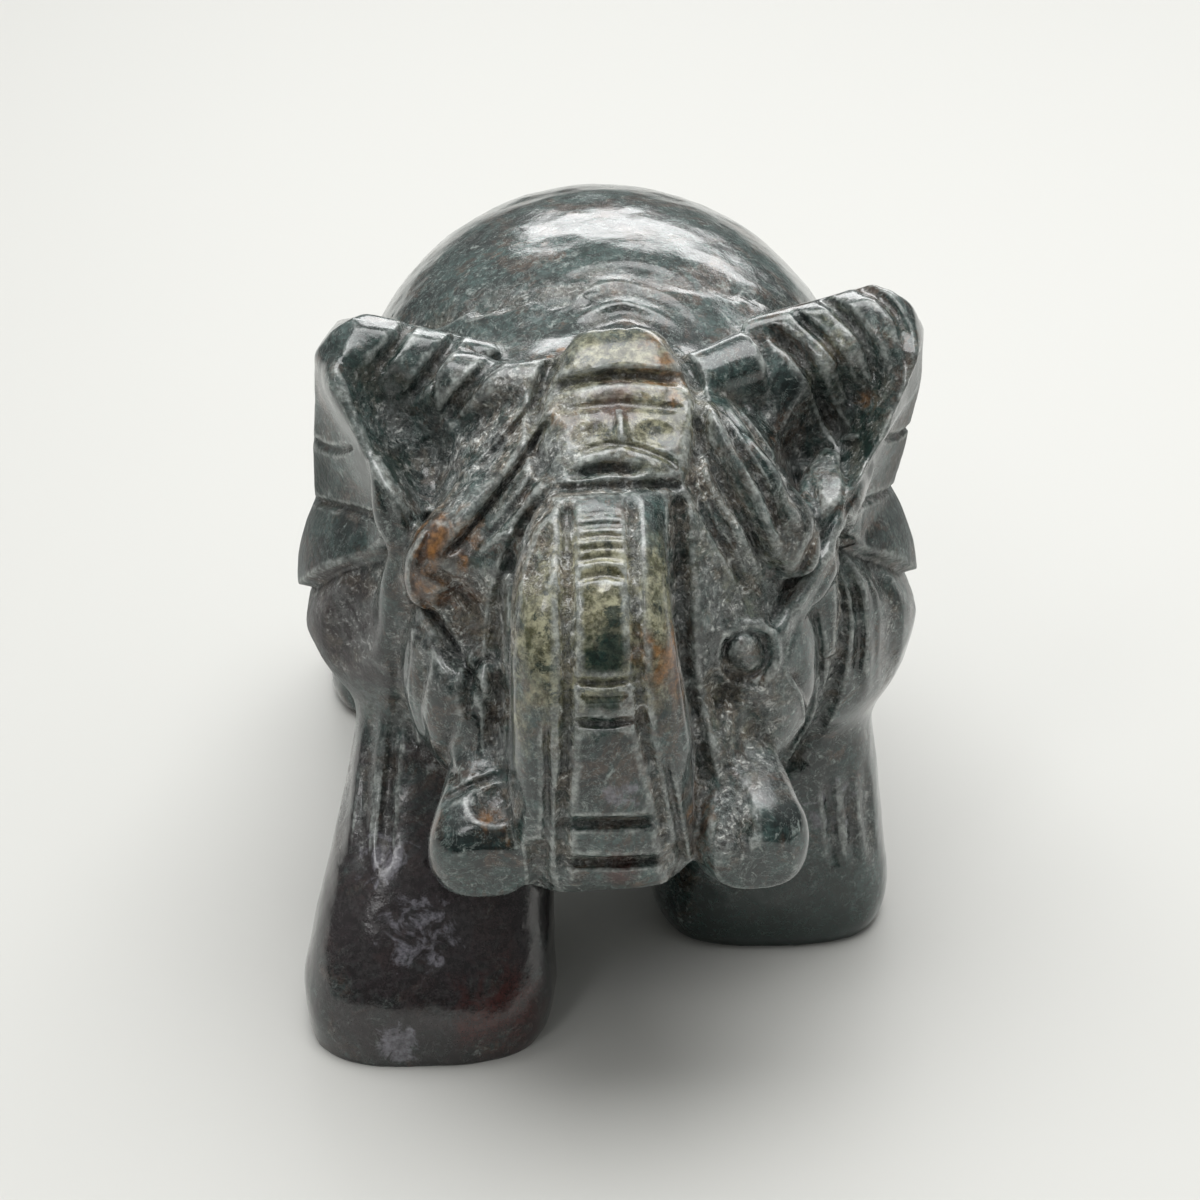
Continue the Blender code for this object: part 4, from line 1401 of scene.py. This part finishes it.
class FinishBench(Bench):
    """Lays the nodes of one material."""

    def __init__(self, material: bpy.types.Material) -> None:
        """Takes a material's tree and lays out its place on the object, in millimetres."""
        material.use_nodes = True
        super().__init__(material.node_tree)
        self.shader = self.tree.nodes["Principled BSDF"].inputs
        own = self.add("ShaderNodeTexCoord", {})["Object"]
        wires = {"Vector": own, "Scale": (1000, 1000, 1000)}
        self.place = self.add("ShaderNodeMapping", wires)[0]

    def dress(self, values: dict[str, object]) -> None:
        """Gives the shader's own sockets their values or wires."""
        for name, value in values.items():
            self.feed(self.shader[name], value)

    def noise(self, cloud: Cloud) -> bpy.types.NodeSocket:
        """A pattern's noise, about 0.5 on average."""
        wires = {
            "Vector": self.place,
            "W": cloud.seed,
            "Scale": 1 / cloud.size,
            "Detail": cloud.detail,
            "Roughness": cloud.rough,
            "Distortion": cloud.warp,
        }
        return self.add("ShaderNodeTexNoise", wires, noise_dimensions="4D")["Fac"]

    def faded(self, cloud: Cloud, value: object = None) -> bpy.types.NodeSocket:
        """How much a pattern places, from its own noise or from another value."""
        value = self.noise(cloud) if value is None else value
        return self.spread(value, cloud.low, cloud.high, cloud.start, cloud.end)

    def scaled(self, colour: bpy.types.NodeSocket, value: object) -> bpy.types.NodeSocket:
        """A colour made lighter or darker by a value."""
        wires = {0: colour, "Scale": value}
        return self.add("ShaderNodeVectorMath", wires, operation="SCALE")["Vector"]

    def kept(self, name: str) -> bpy.types.NodeSocket:
        """The value that the mesh keeps at each point under a name."""
        return self.add("ShaderNodeAttribute", {}, attribute_name=name)["Fac"]

    def spread(
        self, value: object, low: float, high: float, start: object = 0, end: object = 1
    ) -> bpy.types.NodeSocket:
        """Eases one range of values into another.

        Args:
            value: The value.
            low: Where it begins to change.
            high: Where it has changed.
            start: What it gives below the low value.
            end: What it gives above the high one.

        Returns:
            The socket of the eased value.
        """
        wires = dict(enumerate((value, low, high, start, end)))
        return self.add("ShaderNodeMapRange", wires, interpolation_type="SMOOTHSTEP")[0]

    def mix(self, share: object, first: object, second: object) -> bpy.types.NodeSocket:
        """Two colours mixed, the second by its share."""
        pair = [(*given, 1) if isinstance(given, tuple) else given for given in (first, second)]
        return self.add("ShaderNodeMix", {0: share, 6: pair[0], 7: pair[1]}, data_type="RGBA")[2]

    def patches(
        self, tint: Tint, noise: bpy.types.NodeSocket, soft: float, most: float
    ) -> bpy.types.NodeSocket:
        """Where a mineral shows.

        Args:
            tint: The mineral.
            noise: The noise that breaks it up.
            soft: How soft its edges are.
            most: Its share where it covers the stone.

        Returns:
            The socket of its share: nearly everywhere at an amount of 1, only in the noise's
            peaks at a smaller one.
        """
        amount = self.calc("MULTIPLY", self.kept(tint.value), AMOUNT_WEIGHT)
        shown = self.calc("ADD", amount, noise)
        return self.spread(shown, SHOWS_FROM - soft, SHOWS_FROM + soft, 0, most)

    def bump(
        self, height: object, depth: float, under: bpy.types.NodeSocket | None = None
    ) -> bpy.types.NodeSocket:
        """A normal disturbed by a height.

        Args:
            height: The height from 0 to 1.
            depth: What a height of 1 is in millimetres.
            under: The normal that it adds to.

        Returns:
            The socket of the normal.
        """
        wires = {"Height": height, "Distance": depth / 1000}
        if under is not None:
            wires["Normal"] = under
        return self.add("ShaderNodeBump", wires)["Normal"]


@dataclass(frozen=True)
class MossAgate:
    """Moss agate, polished on its open surfaces and left matt in its recesses.

    Args:
        deep: Its darkest clouds.
        slate: Its paler clouds.
        umber: Its warm clouds.
        ash: Its fine grey flecks.
        moss, olive, cream, rust, amber, garnet, plum, lavender: Its minerals.
        frost: Stone that a burr has ground.
        clay: The same where it is warmer.
        sparkle: The glints of its grains.
        edge: A pale colour laid on its ridges as a painted highlight, for the light that thin edges
            let through and reflect.
        soil_and_shade: A dark colour for dirt settled in the grooves, laid in the creases as
            painted shade as well, and for the pores of ground stone.
        matt: The roughness of ground stone.
        ior: The stone's index of refraction.
        wax: How strong the clear wax over it is.
        wax_gloss: The wax's roughness.
        wax_ior: The wax's index of refraction.
        bloom: The pale bloom of its edges seen aslant.
        bloom_spread: How far the bloom reaches in from the edges.
        hollow_share: How far a hollow counts as ground stone.
        dust_share: How much of its own colour ground stone loses to its dust.
        soil_and_shade_share: How much dark dirt and painted shade a full crease holds.
        ridge_matt: How matt a ridge is left in ground stone.
        soil_and_shade_range: From which crease the dirt and painted shade begin and at which they
            are full.
        rim_highlight_range: The same for ridges and the painted highlight on them.
        wear_range: The same for ridges and the polish that they keep in ground stone.
        matt_range: The same for wear and the roughness of ground stone.
        wax_range: The same for wear and the loss of the wax.
        ripple_depth, scratch_depth, pit_depth: Heights of the relief in millimetres.
        clouds, warmth, mottle, flecks, veins: Patterns of the stone's own colour.
        seams, curd, specks, rusting, feathers: Patterns of its minerals.
        rubbed, dusting, glints, pores: Patterns of its ground places.
        thin: Where the painted highlight on its ridges shows.
        shade: How its colour varies from grain to grain.
        polish: The roughness of its polished places.
        ripples, scratches, pits: Patterns of its relief.
    """

    deep: Colour = (0.009, 0.017, 0.016)
    slate: Colour = (0.052, 0.086, 0.080)
    umber: Colour = (0.085, 0.058, 0.042)
    ash: Colour = (0.280, 0.320, 0.300)
    moss: Colour = (0.005, 0.022, 0.018)
    olive: Colour = (0.090, 0.088, 0.042)
    cream: Colour = (0.340, 0.330, 0.220)
    rust: Colour = (0.095, 0.042, 0.020)
    amber: Colour = (0.280, 0.130, 0.040)
    garnet: Colour = (0.060, 0.014, 0.011)
    plum: Colour = (0.024, 0.017, 0.019)
    lavender: Colour = (0.210, 0.205, 0.235)
    frost: Colour = (0.360, 0.380, 0.370)
    clay: Colour = (0.320, 0.275, 0.220)
    sparkle: Colour = (0.780, 0.790, 0.760)
    edge: Colour = (0.400, 0.430, 0.410)
    soil_and_shade: Colour = (0.014, 0.014, 0.013)
    matt: float = 0.5
    ior: float = 1.6
    wax: float = 0.4
    wax_gloss: float = 0.08
    wax_ior: float = 1.5
    bloom: float = 0.30
    bloom_spread: float = 0.12
    hollow_share: float = 0.75
    dust_share: float = 0.68
    soil_and_shade_share: float = 0.3
    ridge_matt: float = 0.25
    soil_and_shade_range: Vec2 = (0.5, 1.0)
    rim_highlight_range: Vec2 = (0.5, 1.0)
    wear_range: Vec2 = (0.1, 0.6)
    matt_range: Vec2 = (0.0, 0.8)
    wax_range: Vec2 = (0.0, 0.5)
    ripple_depth: float = 0.05
    scratch_depth: float = 0.015
    pit_depth: float = 0.13
    clouds: Cloud = Cloud(4.0, 1, 6, 0.70, 1.0, 0.40, 0.58)
    warmth: Cloud = Cloud(2.6, 6, 6, 0.74, 0.8, 0.50, 0.60, 0, 0.85)
    mottle: Cloud = Cloud(0.9, 2, 5, 0.8, 0.5, 0.38, 0.52, 0.8, 0)
    flecks: Cloud = Cloud(0.8, 7, 5, 0.78, 0.8, 0.56, 0.65, 0, 0.75)
    veins: Cloud = Cloud(1.8, 8, 6, 0.72, 1.2, 0.0, 0.015, 0.5, 0)
    seams: Cloud = Cloud(1.8, 4, 6, 0.72, 0.7)
    curd: Cloud = Cloud(0.7, 3, 4, 0.75, 0.5, 0.40, 0.58)
    specks: Cloud = Cloud(1.0, 9, 5, 0.78, 0.6, 0.53, 0.59, 0, 0.8)
    rusting: Cloud = Cloud(0.9, 10, 5, 0.6, 0.6, 0.45, 0.62)
    feathers: Cloud = Cloud(1.6, 5, 6, 0.72, 1.4)
    rubbed: Cloud = Cloud(1.1, 12, 5, 0.75, 0.4, 0.42, 0.58, 0.1, 1.0)
    dusting: Cloud = Cloud(2.4, 15, 4, 0.7, 0.6, 0.46, 0.58)
    glints: Cloud = Cloud(0.42, 31, 3, 0.75, 1.2, 0.54, 0.61, 0, 0.95)
    pores: Cloud = Cloud(0.42, 31, 3, 0.75, 1.2, 0.38, 0.46, 0.85, 0)
    thin: Cloud = Cloud(0.9, 14, 4, 0.65, 0, 0.42, 0.60, 0.18, 0.7)
    shade: Cloud = Cloud(0.30, 13, 3, 0.75, 0, 0.34, 0.66, 0.6, 1.5)
    polish: Cloud = Cloud(1.4, 23, 5, 0.65, 0, 0.36, 0.64, 0.07, 0.20)
    ripples: Cloud = Cloud(1.1, 21, 4, 0.55)
    scratches: Cloud = Cloud(0.30, 24, 5, 0.7)
    pits: Cloud = Cloud(0.25, 22, 4, 0.75)

    def material(self) -> bpy.types.Material:
        """The material, with every pattern on the stone's own coordinates and kept values."""
        material = bpy.data.materials.new("moss_agate")
        bench = FinishBench(material)
        frosted = bench.calc("MULTIPLY", bench.kept(HOLLOWED), self.hollow_share)
        frosted = bench.calc("MAXIMUM", frosted, bench.kept(Tint.FROST.value))
        worked = bench.calc("MAXIMUM", bench.kept(GROUND), frosted)
        matt = bench.calc("MULTIPLY", worked, bench.faded(self.rubbed))
        colour = self.ground_down(bench, self.minerals(bench, self.body(bench)), matt)
        # Creases are darkened towards their bottoms: dirt settled in them together with painted
        # shade.
        soiled_and_shaded = bench.spread(bench.kept(CREASE), *self.soil_and_shade_range, 0, self.soil_and_shade_share)
        colour = bench.mix(soiled_and_shaded, colour, self.soil_and_shade)
        ridge = bench.kept(RIDGE)
        # The ridges are painted paler: a painted highlight for the light that thin edges let
        # through and reflect.
        rim = bench.spread(ridge, *self.rim_highlight_range, 0, bench.faded(self.thin))
        colour = bench.mix(rim, colour, self.edge)
        rubbed = bench.spread(ridge, *self.wear_range, 1.0, self.ridge_matt)
        worn = bench.calc("MULTIPLY", matt, rubbed)
        worn = bench.calc("MAXIMUM", worn, bench.kept(Tint.UNPOLISHED.value))
        values = {
            "Base Color": bench.scaled(colour, bench.faded(self.shade)),
            "Roughness": bench.spread(worn, *self.matt_range, bench.faded(self.polish), self.matt),
            "Metallic": 0,
            "IOR": self.ior,
            "Coat Weight": bench.spread(worn, *self.wax_range, self.wax, 0),
            "Coat Roughness": self.wax_gloss,
            "Coat IOR": self.wax_ior,
            "Sheen Weight": self.bloom,
            "Sheen Roughness": self.bloom_spread,
            "Normal": self.relief(bench, worn),
        }
        bench.dress(values)
        return material

    def relief(self, bench: FinishBench, worn: bpy.types.NodeSocket) -> bpy.types.NodeSocket:
        """Ripples in the polish, hair-fine scratches all over and pits in the ground stone."""
        ripple = bench.bump(bench.noise(self.ripples), self.ripple_depth)
        scratched = bench.bump(bench.noise(self.scratches), self.scratch_depth, ripple)
        pitted = bench.calc("MULTIPLY", bench.noise(self.pits), worn)
        return bench.bump(pitted, self.pit_depth, scratched)

    def body(self, bench: FinishBench) -> bpy.types.NodeSocket:
        """The stone's own colour: clouds, warm patches, mottling, grey flecks and veins."""
        colour = bench.mix(bench.faded(self.clouds), self.deep, self.slate)
        colour = bench.mix(bench.faded(self.warmth), colour, self.umber)
        colour = bench.mix(bench.faded(self.mottle), colour, self.deep)
        colour = bench.mix(bench.faded(self.flecks), colour, self.ash)
        beside = bench.calc("SUBTRACT", bench.noise(self.veins), 0.5)
        beside = bench.calc("ABSOLUTE", beside)
        return bench.mix(bench.faded(self.veins, beside), colour, self.ash)

    def minerals(self, bench: FinishBench, colour: bpy.types.NodeSocket) -> bpy.types.NodeSocket:
        """The minerals laid over the stone's own colour."""
        broad = bench.noise(self.seams)
        pale = bench.mix(bench.faded(self.curd), self.olive, self.cream)
        pale = bench.mix(bench.faded(self.specks), pale, self.moss)
        veined = bench.noise(self.rusting)
        warm = bench.mix(bench.faded(self.rusting, veined), self.rust, self.amber)
        for tint, noise, soft, most, mineral in (
            (Tint.PLUM, broad, 0.2, 0.9, self.plum),
            (Tint.OLIVE, broad, 0.2, 0.9, pale),
            (Tint.MOSS, broad, 0.12, 0.9, self.moss),
            (Tint.GARNET, broad, 0.15, 0.8, self.garnet),
            (Tint.RUST, veined, 0.22, 0.85, warm),
            (Tint.LAVENDER, bench.noise(self.feathers), 0.07, 0.7, self.lavender),
        ):
            colour = bench.mix(bench.patches(tint, noise, soft, most), colour, mineral)
        return colour

    def ground_down(
        self, bench: FinishBench, colour: bpy.types.NodeSocket, matt: bpy.types.NodeSocket
    ) -> bpy.types.NodeSocket:
        """The colour with the frost and the glints of ground stone.

        Args:
            bench: The bench.
            colour: The colour of the polished stone.
            matt: How far the stone is ground.

        Returns:
            The socket of the colour.
        """
        dust = bench.mix(bench.faded(self.dusting), self.frost, self.clay)
        colour = bench.mix(bench.calc("MULTIPLY", matt, self.dust_share), colour, dust)
        crystals = bench.noise(self.glints)
        for cloud, grain in ((self.glints, self.sparkle), (self.pores, self.soil_and_shade)):
            share = bench.calc("MULTIPLY", bench.faded(cloud, crystals), matt)
            colour = bench.mix(share, colour, grain)
        return colour


@dataclass(frozen=True)
class PaleBoard:
    """The pale, slightly warm board that the carving stands on.

    Args:
        colour: Its colour.
        roughness: Its roughness.
    """

    colour: Colour = (0.68, 0.68, 0.65)
    roughness: float = 0.5

    def material(self) -> bpy.types.Material:
        """The material."""
        material = bpy.data.materials.new("pale_board")
        bench = FinishBench(material)
        bench.dress({"Base Color": (*self.colour, 1), "Roughness": self.roughness})
        return material


@dataclass(frozen=True)
class SoftBox:
    """A rectangular studio light.

    Args:
        name: Its name.
        place: Where it hangs, in metres.
        size: Its width and height in metres.
        power: Its power in watts.
        colour: Its colour.
    """

    name: str
    place: Vec3
    size: Vec2
    power: float
    colour: Colour = (1, 1, 1)

    def hang(self, aim: Vector) -> None:
        """Hangs the light so that it looks at the aim."""
        light = bpy.data.lights.new(self.name, "AREA")
        light.shape = "RECTANGLE"
        light.size, light.size_y = self.size
        light.energy = self.power
        light.color = self.colour
        obj = bpy.data.objects.new(self.name, light)
        obj.location = self.place
        obj.rotation_euler = (aim - Vector(self.place)).to_track_quat("-Z", "Y").to_euler()
        bpy.context.scene.collection.objects.link(obj)


@dataclass
class Studio:
    """Plain board, soft lights and the camera at the photograph's angle.

    Args:
        board: The board's finish.
        board_size: The board's side in metres.
        lights: The lights.
        sky: The colour of the surroundings.
        sky_strength: Their brightness overhead.
        horizon_strength: Their brightness at the horizon.
        front_share: The share of it that is left in front, where the camera stands.
        front_range: From where to where, along Y, the front gives way to the rest.
        azimuth: The camera's turn from straight ahead of the face, in degrees.
        elevation: Its height above the horizon in degrees.
        distance: Its distance from the aim in metres.
        aim: What it looks at, from the middle of the CAD box, in metres.
        lens: Its focal length in millimetres.
        sensor: Its sensor's width in millimetres.
        near_clip: How near it sees, in metres.
    """

    board: PaleBoard = PaleBoard()
    board_size: float = 3.0
    lights: tuple[SoftBox, ...] = (
        SoftBox("overhead", (0.0, 0.06, 0.42), (0.44, 0.30), 1.5),
        SoftBox("window", (-0.20, -0.26, 0.34), (0.08, 0.12), 0.15),
        SoftBox("behind", (0.1, 0.42, 0.22), (0.40, 0.10), 0.5),
    )
    sky: Colour = (0.80, 0.80, 0.79)
    sky_strength: float = 0.95
    horizon_strength: float = 0.14
    front_share: float = 0.35
    front_range: Vec2 = (-0.8, 0.1)
    azimuth: float = -3.0
    elevation: float = 29.0
    distance: float = 0.130
    aim: Vec3 = (-0.0003, -0.0040, -0.0005)
    lens: float = 75.0
    sensor: float = 36.0
    near_clip: float = 0.0065

    def set_up(self) -> bpy.types.Object:
        """Lays the board, hangs the lights and places the camera.

        Returns:
            The board.
        """
        low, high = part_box(NODE)
        middle = (low + high) / 2
        board = self.lay_board()
        for light in self.lights:
            light.hang(middle)
        self.light_sky()
        bpy.context.scene.view_settings.view_transform = "Standard"
        self.place_camera(middle + Vector(self.aim))
        return board

    def light_sky(self) -> None:
        """Surroundings that are brightest overhead and dim in front."""
        world = bpy.data.worlds.new("studio")
        world.use_nodes = True
        bench = Bench(world.node_tree)
        way = bench.add("ShaderNodeTexCoord", {})["Generated"]
        parts = bench.add("ShaderNodeSeparateXYZ", {0: way})
        ends = {"To Min": self.horizon_strength, "To Max": self.sky_strength}
        fade = bench.add("ShaderNodeMapRange", {"Value": parts["Z"], **ends})[0]
        near, far = self.front_range
        ends = {"From Min": near, "From Max": far, "To Min": self.front_share}
        ahead = bench.add("ShaderNodeMapRange", {"Value": parts["Y"], **ends})[0]
        background = world.node_tree.nodes["Background"].inputs
        bench.feed(background["Color"], (*self.sky, 1))
        bench.feed(background["Strength"], bench.calc("MULTIPLY", fade, ahead))
        bpy.context.scene.world = world

    def lay_board(self) -> bpy.types.Object:
        """The board, its top at the ground."""
        mesh = bmesh.new()
        bmesh.ops.create_grid(mesh, x_segments=1, y_segments=1, size=self.board_size / 2)
        data = bpy.data.meshes.new("board")
        mesh.to_mesh(data)
        mesh.free()
        data.materials.append(self.board.material())
        board = bpy.data.objects.new("board", data)
        bpy.context.scene.collection.objects.link(board)
        return board

    def place_camera(self, aim: Vector) -> None:
        """Places the camera so that it looks at the aim."""
        azimuth, elevation = math.radians(self.azimuth), math.radians(self.elevation)
        flat = math.cos(elevation)
        back = Vector((math.sin(azimuth) * flat, -math.cos(azimuth) * flat, math.sin(elevation)))
        data = bpy.data.cameras.new("camera")
        data.sensor_width = self.sensor
        data.lens = self.lens
        data.clip_start = self.near_clip
        camera = bpy.data.objects.new("camera", data)
        camera.location = aim + back * self.distance
        camera.rotation_euler = (-back).to_track_quat("-Z", "Y").to_euler()
        bpy.context.scene.collection.objects.link(camera)
        bpy.context.scene.camera = camera


def legs() -> tuple[Leg, ...]:
    """The four legs in mid stride, the right front one and the left rear one forward."""
    square = 3.2
    right_folds = tuple(
        Groove(((x, 8.2), (x - 0.5, 4.4), (x - 0.9, 0.4)), 0.9, 0.35, taper=2.5)
        for x in (-12.7, -11.6, -10.4)
    )
    left_folds = tuple(
        Groove(((x, 3.8), (x + 0.3, 1.0), (x + 0.6, -1.0)), 0.9, 0.35, taper=1.5)
        for x in (11.4, 12.5, 13.5)
    )
    shoulder = (
        Groove(((13.7, 15.0), (14.2, 11.6), (14.3, 8.0)), 1.6, 0.5, taper=2),
        Groove(((12.0, 19.0), (12.4, 14.7), (12.8, 10.6), (13.0, 7.6)), 0.9, -0.3, GLOSSY, 2),
    )
    front_right = (
        (-7.4, -5.5, 15, 4.7, 5.4),
        (-8.0, -9.0, 9, 5.4, 5.5),
        (-8.9, -12.4, 3.5, 6.1, 6.1),
        (-9.2, -13.5, 1, 6.5, 6.5),
    )
    front_left = (
        (8.2, -4.0, 15, 5.2, 5.6),
        (8.7, -4.4, 9, 5.8, 5.8),
        (8.9, -4.8, 3.5, 6.3, 6.2),
        (9.0, -5.0, 1, 6.5, 6.4),
    )
    rear_right = (
        (-7.8, 14.0, 15, 5.0, 5.8),
        (-8.5, 16.0, 9, 5.4, 5.7),
        (-9.2, 17.8, 3.5, 5.9, 5.9),
        (-9.4, 18.2, 1, 6.3, 6.2),
    )
    rear_left = (
        (7.8, 12.0, 15, 5.0, 5.8),
        (8.5, 12.6, 9, 5.4, 5.7),
        (9.0, 13.2, 3.5, 5.9, 5.8),
        (9.2, 13.5, 1, 6.3, 6.1),
    )
    front_right_minerals = (
        *spots(Tint.PLUM, (-9.0, -14.0, 5.0, 12.0, 1.0)),
        *spots(
            Tint.LAVENDER,
            (-9.5, -17.5, 6.8, 3.4, 0.62), (-11.4, -15.0, 9.0, 2.4, 0.66),
            (-10.7, -19.5, 1.4, 1.5, 0.95),
        ),
        *spots(Tint.GARNET, (-5.7, -18.5, 2.5, 3.4, 0.8)),
    )
    front_left_minerals = (
        *spots(Tint.MOSS, (9.1, -9.0, 1.0, 6.5, 1.1)),
        *spots(Tint.LAVENDER, (11.5, -9.0, 8.0, 4.0, 0.5)),
    )
    rear_right_minerals = (
        *spots(Tint.MOSS, (-12.0, 16.0, 3.0, 5.0, 1.0)),
        *spots(Tint.LAVENDER, (-11.0, 20.0, 8.0, 4.0, 0.6)),
    )
    rear_left_minerals = (
        *spots(Tint.PLUM, (9.0, 15.0, 5.0, 6.0, 0.7)),
        *spots(Tint.OLIVE, (12.0, 13.0, 8.0, 3.5, 0.5)),
    )
    return (
        Leg(Limb(front_right, square), right_folds, front_right_minerals),
        Leg(Limb(front_left, square), left_folds + shoulder, front_left_minerals),
        Leg(Limb(rear_right, square), (), rear_right_minerals),
        Leg(Limb(rear_left, square), (), rear_left_minerals),
    )


def main() -> None:
    """Builds the studio and the carving."""
    logging.basicConfig(level=logging.INFO, format="%(message)s")
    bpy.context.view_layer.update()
    Studio().set_up()
    carving = Carving((Torso(), *legs(), Tail(), Head(), Trunk(), Ears()))
    stone = carving.build(MossAgate().material())
    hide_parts(NODE)
    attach(stone, BODY)
    LOG.info("%s has %d triangles", stone.name, len(stone.data.polygons))


if __name__ == "__main__":
    main()
